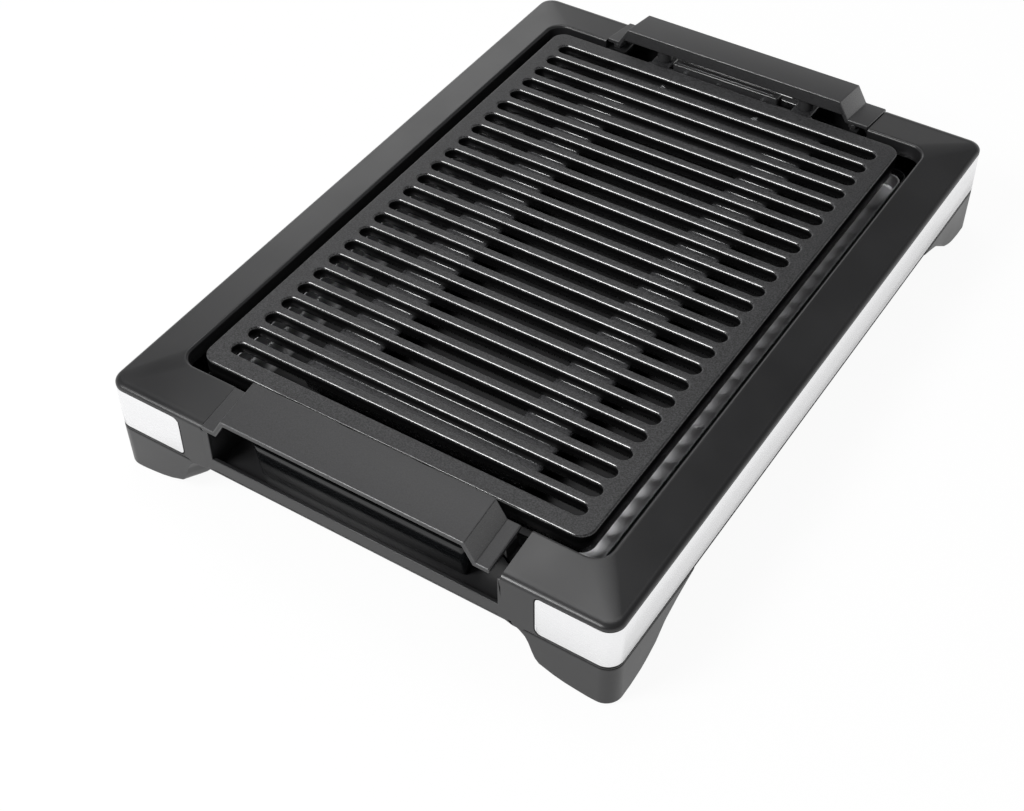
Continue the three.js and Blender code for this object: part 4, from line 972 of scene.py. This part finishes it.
def handle_outline(depth, end):
    """The handle's arch seen along the grill: right flange as long as end says, sloped cheek, flat
    top and back down. Set in by a depth, its cheeks move along by about half of it."""
    top, flange, shift = CREST_Z - depth, FLANGE_Z - depth, depth * 0.53
    half = [(83 - shift, flange), (76.5 - shift, top)]
    left = [(-x, z) for x, z in half[::-1]] + [(-FLANGE_END[-1], flange)]
    return [(PLATE_X + x, z) for x, z in [(end, flange)] + half + left]


def leaned(points):
    """Heights rise towards the middle of the grill: z plus the slope times the way in."""
    rise = SLOPE * (HANDLE_OUTER - np.abs(points[:, 1]))
    return points + np.outer(rise, [0, 0, 1])


def handle_shells(sign, sizes):
    """The arch's outline, outside then back inside, run along the grill with rounded ends, and the
    web along its inner edge; both are then leaned."""
    outline = handle_outline(0.0, FLANGE_END[sign]) + handle_outline(HANDLE_WALL, FLANGE_END[sign])[::-1]
    arch = prism(rounded(outline, sizes.crest_radius / MM, 6), *between(sign, HANDLE_INNER, HANDLE_OUTER),
                 sizes.edge_radius / MM, "xzy")
    corners = [(PLATE_X + x, z) for x, z in ((-80.3, 65.3), (80.3, 65.3), (75.6, 72.4), (-75.6, 72.4))]
    web = prism(rounded(corners, 0.6, 4), *between(sign, HANDLE_INNER, HANDLE_INNER + WEB), 0.5, "xzy")
    return [(leaned(points), quads, plates) for points, quads, plates in (arch, web)]


def handle_screw(sign, side):
    """Node of a handle's screw, its place in x and y, and the heights of its head and its tip."""
    node = f"{ENDS[sign]}_{SIDES[side]}_handle_screw"
    low, high = node_box(node)
    return node, (low + high)[:2] / 2, low[2], high[2]


class GRILL_OT_handles(bpy.types.Operator):
    """Both moulded handles with their pegs and screw bosses"""
    bl_idname = "grill.handles"
    bl_label = "Handles"

    def execute(self, context):
        for sign, name in ENDS.items():
            skins = handle_shells(sign, context.scene.grill_handles)
            for side in SIDES:
                peg = block(*between(side, 83, 88), *between(sign, 198, 207), 60.8, 63.5, 0.5)
                skins.append(moved(peg, [PLATE_X, 0, 0]))
            for side in SIDES:
                boss = [(4.4, BOSS_LOW[sign]), (5, BOSS_LOW[sign] + 0.6), (5, CREST_Z + 0.2)]
                skins.append(lathe(boss, *handle_screw(sign, side)[1]))
            make_piece(f"{name}_handle_arch", skins, "grill", "handle_phenolic", f"{name}_handle")
        return {"FINISHED"}


# Terminals and fastenings

# Middle of the two pins, where they start, their height, and each pin's way from the middle
TERMINAL_X, TERMINAL_Y, TERMINAL_Z, PIN_SPREAD = -8, 186.85, 57.5, 28.5
PIN_LENGTH, PROBE_X = 27, -12
SCREW_HEAD, HOUSING_SCREW_LENGTH = 2.3, 17.7


def screw_profile(seat, tip):
    """Pan-head screw: head below the seat, shank up to the tip."""
    top = seat - 0.3
    return [(0, top - 2), (1.6, top - 2), (2.7, top - 1.6), (3.3, top - 0.8), (3.4, top), (1.7, top),
            (1.7, tip - 1.7), (0.4, tip)]


class GRILL_OT_terminals(bpy.types.Operator):
    """Terminal pins, insulators, probe sleeve and their guard"""
    bl_idname = "grill.terminals"
    bl_label = "Terminals"

    def execute(self, context):
        root, tip = TERMINAL_Y, TERMINAL_Y + PIN_LENGTH
        pin = [(0, root), (2.2, root), (2.2, tip - 1.6), (1.7, tip - 0.6), (0.8, tip), (0, tip)]
        collar = [(2.5, 187.4), (3.6, 187.4), (4.0, 187.8), (4.0, 192.5), (3.6, 192.9), (2.5, 192.9)]
        for side, name in SIDES.items():
            x = TERMINAL_X + side * PIN_SPREAD
            make_piece(f"contact_pin_{name}", [lathe(pin, x, 0, TERMINAL_Z, lying=True)], "grill",
                       "screw_steel", f"{name}_terminal_pin")
            ring = lathe(collar, x, 0, TERMINAL_Z, lying=True, hollow=True)
            make_piece(f"ceramic_collar_{name}", [ring], "grill", "insulator_ceramic",
                       f"{name}_terminal_insulator")
        low, high = node_box("probe_sleeve")
        sleeve = [(0, low[1]), (2.0, low[1]), (2.0, high[1] - 1.2), (1.5, high[1] - 0.4),
                  (0.6, high[1]), (0, high[1])]
        make_piece("probe_tube", [lathe(sleeve, PROBE_X, 0, TERMINAL_Z, lying=True)], "grill",
                   "screw_steel", "probe_sleeve")
        bar = block(-46, 30, 198.5, 205.5, 52.8, 63.0, 0.9)
        ridges = [block(-43, 27, y - 0.5, y + 0.5, 62.0, 63.7, 0.35, 3) for y in (200.25, 203.75)]
        make_piece("guard_bar", [bar] + ridges, "grill", "handle_phenolic", "terminal_guard")
        return {"FINISHED"}


class GRILL_OT_screws(bpy.types.Operator):
    """Pan-head screws of the housing and of the handles"""
    bl_idname = "grill.screws"
    bl_label = "Screws"

    def execute(self, context):
        for sign, end in ENDS.items():
            for side, name in SIDES.items():
                shape = screw_profile(PAN_LOW, PAN_LOW + HOUSING_SCREW_LENGTH)
                place = (side * HOUSING_SCREW_X, sign * HOUSING_SCREW_Y)
                make_piece(f"housing_screw_{end}_{name}", [lathe(shape, *place)], "base", "screw_steel",
                           f"{end}_{name}_housing_screw")
                node, place, head, tip = handle_screw(sign, side)
                make_piece(f"handle_screw_{end}_{name}",
                           [lathe(screw_profile(head + SCREW_HEAD, tip), *place)], "grill",
                           "screw_steel", node)
        return {"FINISHED"}


# Tray and liner

# Half sizes of the tray and of its bays
TRAY_X, TRAY_Y, BAY_X, BAY_Y = 128.0, 189.0, 69.0, 217.0
TRAY_LOW, TRAY_FLOOR, TRAY_TOP = 33.1, 34.7, 50.0
# How much higher the rim is round the front bay, and lower round the rear bay
FRONT_BAY_RISE, REAR_BAY_DROP, BAY_DRAFT = 7.0, 4.0, 1.2
RIBS_X, RIB_Y = (-98, -38, 38, 98), 165
LINER_LOW, LINER_TOP = 39.0, 47.0


def tray_outline(inward):
    """The tray's plan with a bay at each end, each of its points moved inwards by a distance."""
    x, y, bay_x, bay_y = TRAY_X, TRAY_Y, BAY_X, BAY_Y
    corners = [(x, y), (bay_x, y), (bay_x, bay_y), (-bay_x, bay_y), (-bay_x, y), (-x, y),
               (-x, -y), (-bay_x, -y), (-bay_x, -bay_y), (bay_x, -bay_y), (bay_x, -y), (x, -y)]
    radii = [8, 2.5, 9, 9, 2.5, 8, 8, 2.5, 5, 5, 2.5, 8]
    return inset(rounded(corners, radii, 10), np.reshape(inward, (-1, 1)))


def tray_shell(sizes):
    """The tray's wall section carried round its plan: the outside down to the floor, the rim's
    height set by where it is, the inside down to the tray's floor."""
    wall, low, floor = sizes.wall / MM, TRAY_LOW, TRAY_FLOOR
    y = tray_outline(0)[:, 1]
    front, rear = [np.clip(sign * y - TRAY_Y - 0.5, 0, 1) for sign in ENDS]
    top = TRAY_TOP + FRONT_BAY_RISE * front - REAR_BAY_DROP * rear
    draft = BAY_DRAFT * (front + rear)
    section = [(5.0 + draft, low), (2.2 + draft, low), (1.6 + draft, low + 0.03 * (top - low)),
               (0.3, top - 0.6), (0.4, top - 0.1), (0.8, top), (wall - 0.3, top - 0.1),
               (wall, top - 0.6), (wall + 1.6 + draft, floor + 0.8), (wall + 2.4 + draft, floor),
               (wall + 5.0 + draft, floor)]
    return stacked([(tray_outline(inward), z) for inward, z in section])


def liner_shell(sizes):
    """The liner's sheet: from under its floor, out and up its wall, over the edge and back."""
    half_x, half_y = node_box("tray_liner")[1][:2]
    sheet, low, top = sizes.sheet / MM, LINER_LOW, LINER_TOP
    section = [(4.0, low), (2.2, low), (1.6, low + 0.4), (0.0, top - 0.2), (0.1, top), (sheet, top),
               (sheet + 0.1, top - 0.2), (sheet + 1.6, low + 1.2), (sheet + 2.2, low + 0.8),
               (sheet + 4.0, low + 0.8)]
    return stacked([(rectangle(half_x - inward, half_y - inward, 6.5, 12), z)
                    for inward, z in section])


class GRILL_OT_tray(bpy.types.Operator):
    """Glossy drip tray with its two bays, and the bright liner nested in it"""
    bl_idname = "grill.tray"
    bl_label = "Drip tray and liner"

    def execute(self, context):
        sizes = context.scene.grill_tray
        ribs = [block(x - 1, x + 1, -RIB_Y, RIB_Y, TRAY_FLOOR - 0.5, LINER_LOW - 0.3, 0.4)
                for x in RIBS_X]
        make_piece("polished_tray", [tray_shell(sizes)] + ribs, "tray", "tray_plastic", "drip_tray")
        make_piece("bright_liner", [liner_shell(sizes)], "tray", "liner_aluminium", "tray_liner")
        return {"FINISHED"}


# Stage

# Fitted to the photograph: place in mm, angles in radians, focal length and middle in pixels
CAMERA = {"place": (398.86, -671.09, 725.0), "azimuth": -0.5988, "drop": 0.7809, "roll": -0.0256,
          "focal": 1753.94, "middle": (495.07, 390.31), "frame": (1024, 811)}
SENSOR_MM = 36.0
FLOOR_SPAN = 9.0
# Light of the surroundings, the dim ceiling in reflections, and the floor's own glow to the camera
# and in reflections
WORLD_LIGHT, CEILING, FLOOR_GLOW = 0.38, 0.12, (0.94, 0.68)
# Each lamp's direction from the grill, distance and size in metres, and radiance
LAMPS = {"key_lamp": ((-0.34, -0.64, 0.69), 2.2, 0.75, 19),
         "top_lamp": ((-0.28, 0.25, 0.93), 2.2, 0.9, 4.2),
         "back_lamp": ((-0.64, 0.65, 0.42), 2.6, 1.2, 1.3)}


def soft_box(name, toward, distance, size, radiance):
    """A square area lamp that far off in a direction and aimed at the grill. Its power is its
    radiance times pi times its area."""
    lamp = bpy.data.lights.new(name, "AREA")
    lamp.shape, lamp.size = "SQUARE", size
    lamp.energy = radiance * math.pi * size ** 2
    holder = bpy.data.objects.new(name, lamp)
    ray = Vector(toward).normalized()
    holder.location = ray * distance
    holder.rotation_euler = ray.to_track_quat("Z", "Y").to_euler()
    holder.visible_camera = False
    bpy.context.scene.collection.objects.link(holder)


def seen_share(tree, camera, mirrored):
    """One weight for camera rays, another for glossy and transmission rays, zero for the rest."""
    path = add(tree, "ShaderNodeLightPath", {}).outputs
    either = add(tree, "ShaderNodeMath", {"operation": "MAXIMUM"},
                 {0: path["Is Glossy Ray"], 1: path["Is Transmission Ray"]})
    part = add(tree, "ShaderNodeMath", {"operation": "MULTIPLY", 1: mirrored}, {0: either.outputs[0]})
    return add(tree, "ShaderNodeMath", {"operation": "MULTIPLY_ADD", 1: camera},
               {0: path["Is Camera Ray"], 2: part.outputs[0]}).outputs[0]


def painted_floor(base):
    """Matte white paint that partly glows, so that the floor is as pale as the backdrop and still
    takes a soft shadow."""
    material = bpy.data.materials.new("painted_floor")
    material.use_nodes = True
    tree = material.node_tree
    tree.nodes.clear()
    paint = add(tree, "ShaderNodeBsdfDiffuse", {"Color": base})
    glow = add(tree, "ShaderNodeEmission", {"Strength": 1.0})
    mix = add(tree, "ShaderNodeMixShader", {}, {0: seen_share(tree, *FLOOR_GLOW), 1: paint.outputs[0],
                                                2: glow.outputs[0]})
    add(tree, "ShaderNodeOutputMaterial", {}, {"Surface": mix.outputs[0]})
    return material


def studio():
    """A white backdrop all round, with a dim ceiling that only reflections show."""
    world = bpy.data.worlds.new("studio")
    world.use_nodes = True
    tree = world.node_tree
    tree.nodes.clear()
    path = add(tree, "ShaderNodeLightPath", {}).outputs
    place = add(tree, "ShaderNodeTexCoord", {}).outputs["Generated"]
    height = add(tree, "ShaderNodeSeparateXYZ", {}, {0: place}).outputs["Z"]
    ceiling = add(tree, "ShaderNodeMapRange", {"From Min": 0.05, "From Max": 0.5, "To Min": 1.0,
                                               "To Max": CEILING}, {"Value": height})
    shown = add(tree, "ShaderNodeMath", {"operation": "MAXIMUM"},
                {0: ceiling.outputs[0], 1: path["Is Camera Ray"]})
    strength = add(tree, "ShaderNodeMix", {"data_type": "FLOAT", 2: WORLD_LIGHT},
                   {0: seen_share(tree, 1, 1), 3: shown.outputs[0]})
    sky = add(tree, "ShaderNodeBackground", {"Color": (1, 1, 1, 1)}, {"Strength": strength.outputs[0]})
    add(tree, "ShaderNodeOutputWorld", {}, {"Surface": sky.outputs[0]})
    return world


def camera_matrix():
    """The camera's place and its right, up and back directions: it looks along the azimuth (from
    +Y towards +X) and down by the drop, and is rolled about its own axis."""
    azimuth, drop, roll = CAMERA["azimuth"], CAMERA["drop"], CAMERA["roll"]
    ahead = Vector((math.cos(drop) * math.sin(azimuth), math.cos(drop) * math.cos(azimuth),
                    -math.sin(drop)))
    level_right = Vector((math.cos(azimuth), -math.sin(azimuth), 0))
    level_up = level_right.cross(ahead)
    right = math.cos(roll) * level_right + math.sin(roll) * level_up
    up = math.cos(roll) * level_up - math.sin(roll) * level_right
    matrix = Matrix((right, up, -ahead)).transposed().to_4x4()
    matrix.translation = Vector(CAMERA["place"]) * MM
    return matrix


class GRILL_OT_stage(bpy.types.Operator):
    """Pale floor, white surroundings, soft lamps and the camera"""
    bl_idname = "grill.stage"
    bl_label = "Floor, light and camera"

    def execute(self, context):
        scene = context.scene
        mesh = bpy.data.meshes.new("floor")
        corners = [(-FLOOR_SPAN, -FLOOR_SPAN, 0), (FLOOR_SPAN, -FLOOR_SPAN, 0),
                   (FLOOR_SPAN, FLOOR_SPAN, 0), (-FLOOR_SPAN, FLOOR_SPAN, 0)]
        mesh.from_pydata(corners, [], [(0, 1, 2, 3)])
        mesh.materials.append(painted_floor(scene.grill_colours.floor))
        floor = bpy.data.objects.new("floor", mesh)
        scene.collection.objects.link(floor)
        scene.world = studio()
        for name, lamp in LAMPS.items():
            soft_box(name, *lamp)

        camera = bpy.data.cameras.new("camera")
        (wide, high), (across, down) = CAMERA["frame"], CAMERA["middle"]
        camera.sensor_width = SENSOR_MM
        camera.lens = CAMERA["focal"] / wide * SENSOR_MM
        camera.shift_x, camera.shift_y = (wide / 2 - across) / wide, (down - high / 2) / wide
        camera.clip_start, camera.clip_end = 0.05, 50
        holder = bpy.data.objects.new("camera", camera)
        holder.matrix_world = camera_matrix()
        scene.collection.objects.link(holder)
        scene.camera = holder
        scene.view_settings.view_transform = "Standard"
        return {"FINISHED"}


class GRILL_PT_sidebar(bpy.types.Panel):
    """Lists the grill's pieces and their sizes"""
    bl_label = "Grill"
    bl_idname = "GRILL_PT_sidebar"
    bl_space_type = "VIEW_3D"
    bl_region_type = "UI"
    bl_category = "Grill"

    def draw(self, context):
        column = self.layout.column()
        for name in PIECES:
            column.operator(f"grill.{name}")
        for name, group in GROUPS.items():
            for key in group.__annotations__:
                column.prop(getattr(context.scene, name), key)


PIECES = ("stage", "housing", "strips", "base", "plate", "handles", "terminals", "screws", "tray")
GROUPS = {"grill_housing": HousingSizes, "grill_plate": PlateSizes, "grill_handles": HandleSizes,
          "grill_tray": TraySizes, "grill_colours": FinishColours}
CLASSES = (*GROUPS.values(), GRILL_OT_stage, GRILL_OT_housing, GRILL_OT_strips, GRILL_OT_base,
           GRILL_OT_plate, GRILL_OT_handles, GRILL_OT_terminals, GRILL_OT_screws, GRILL_OT_tray,
           GRILL_PT_sidebar)


def register():
    """Registers the classes and gives the scene its groups of settings."""
    for item in CLASSES:
        bpy.utils.register_class(item)
    for name, group in GROUPS.items():
        setattr(bpy.types.Scene, name, PointerProperty(type=group))


def unregister():
    """Takes back what register added, in reverse."""
    for name in GROUPS:
        delattr(bpy.types.Scene, name)
    for item in reversed(CLASSES):
        bpy.utils.unregister_class(item)


def main():
    """Registers the classes, then builds the stage and every piece in order."""
    register()
    for name in PIECES:
        getattr(bpy.ops.grill, name)()


if __name__ == "__main__":
    main()
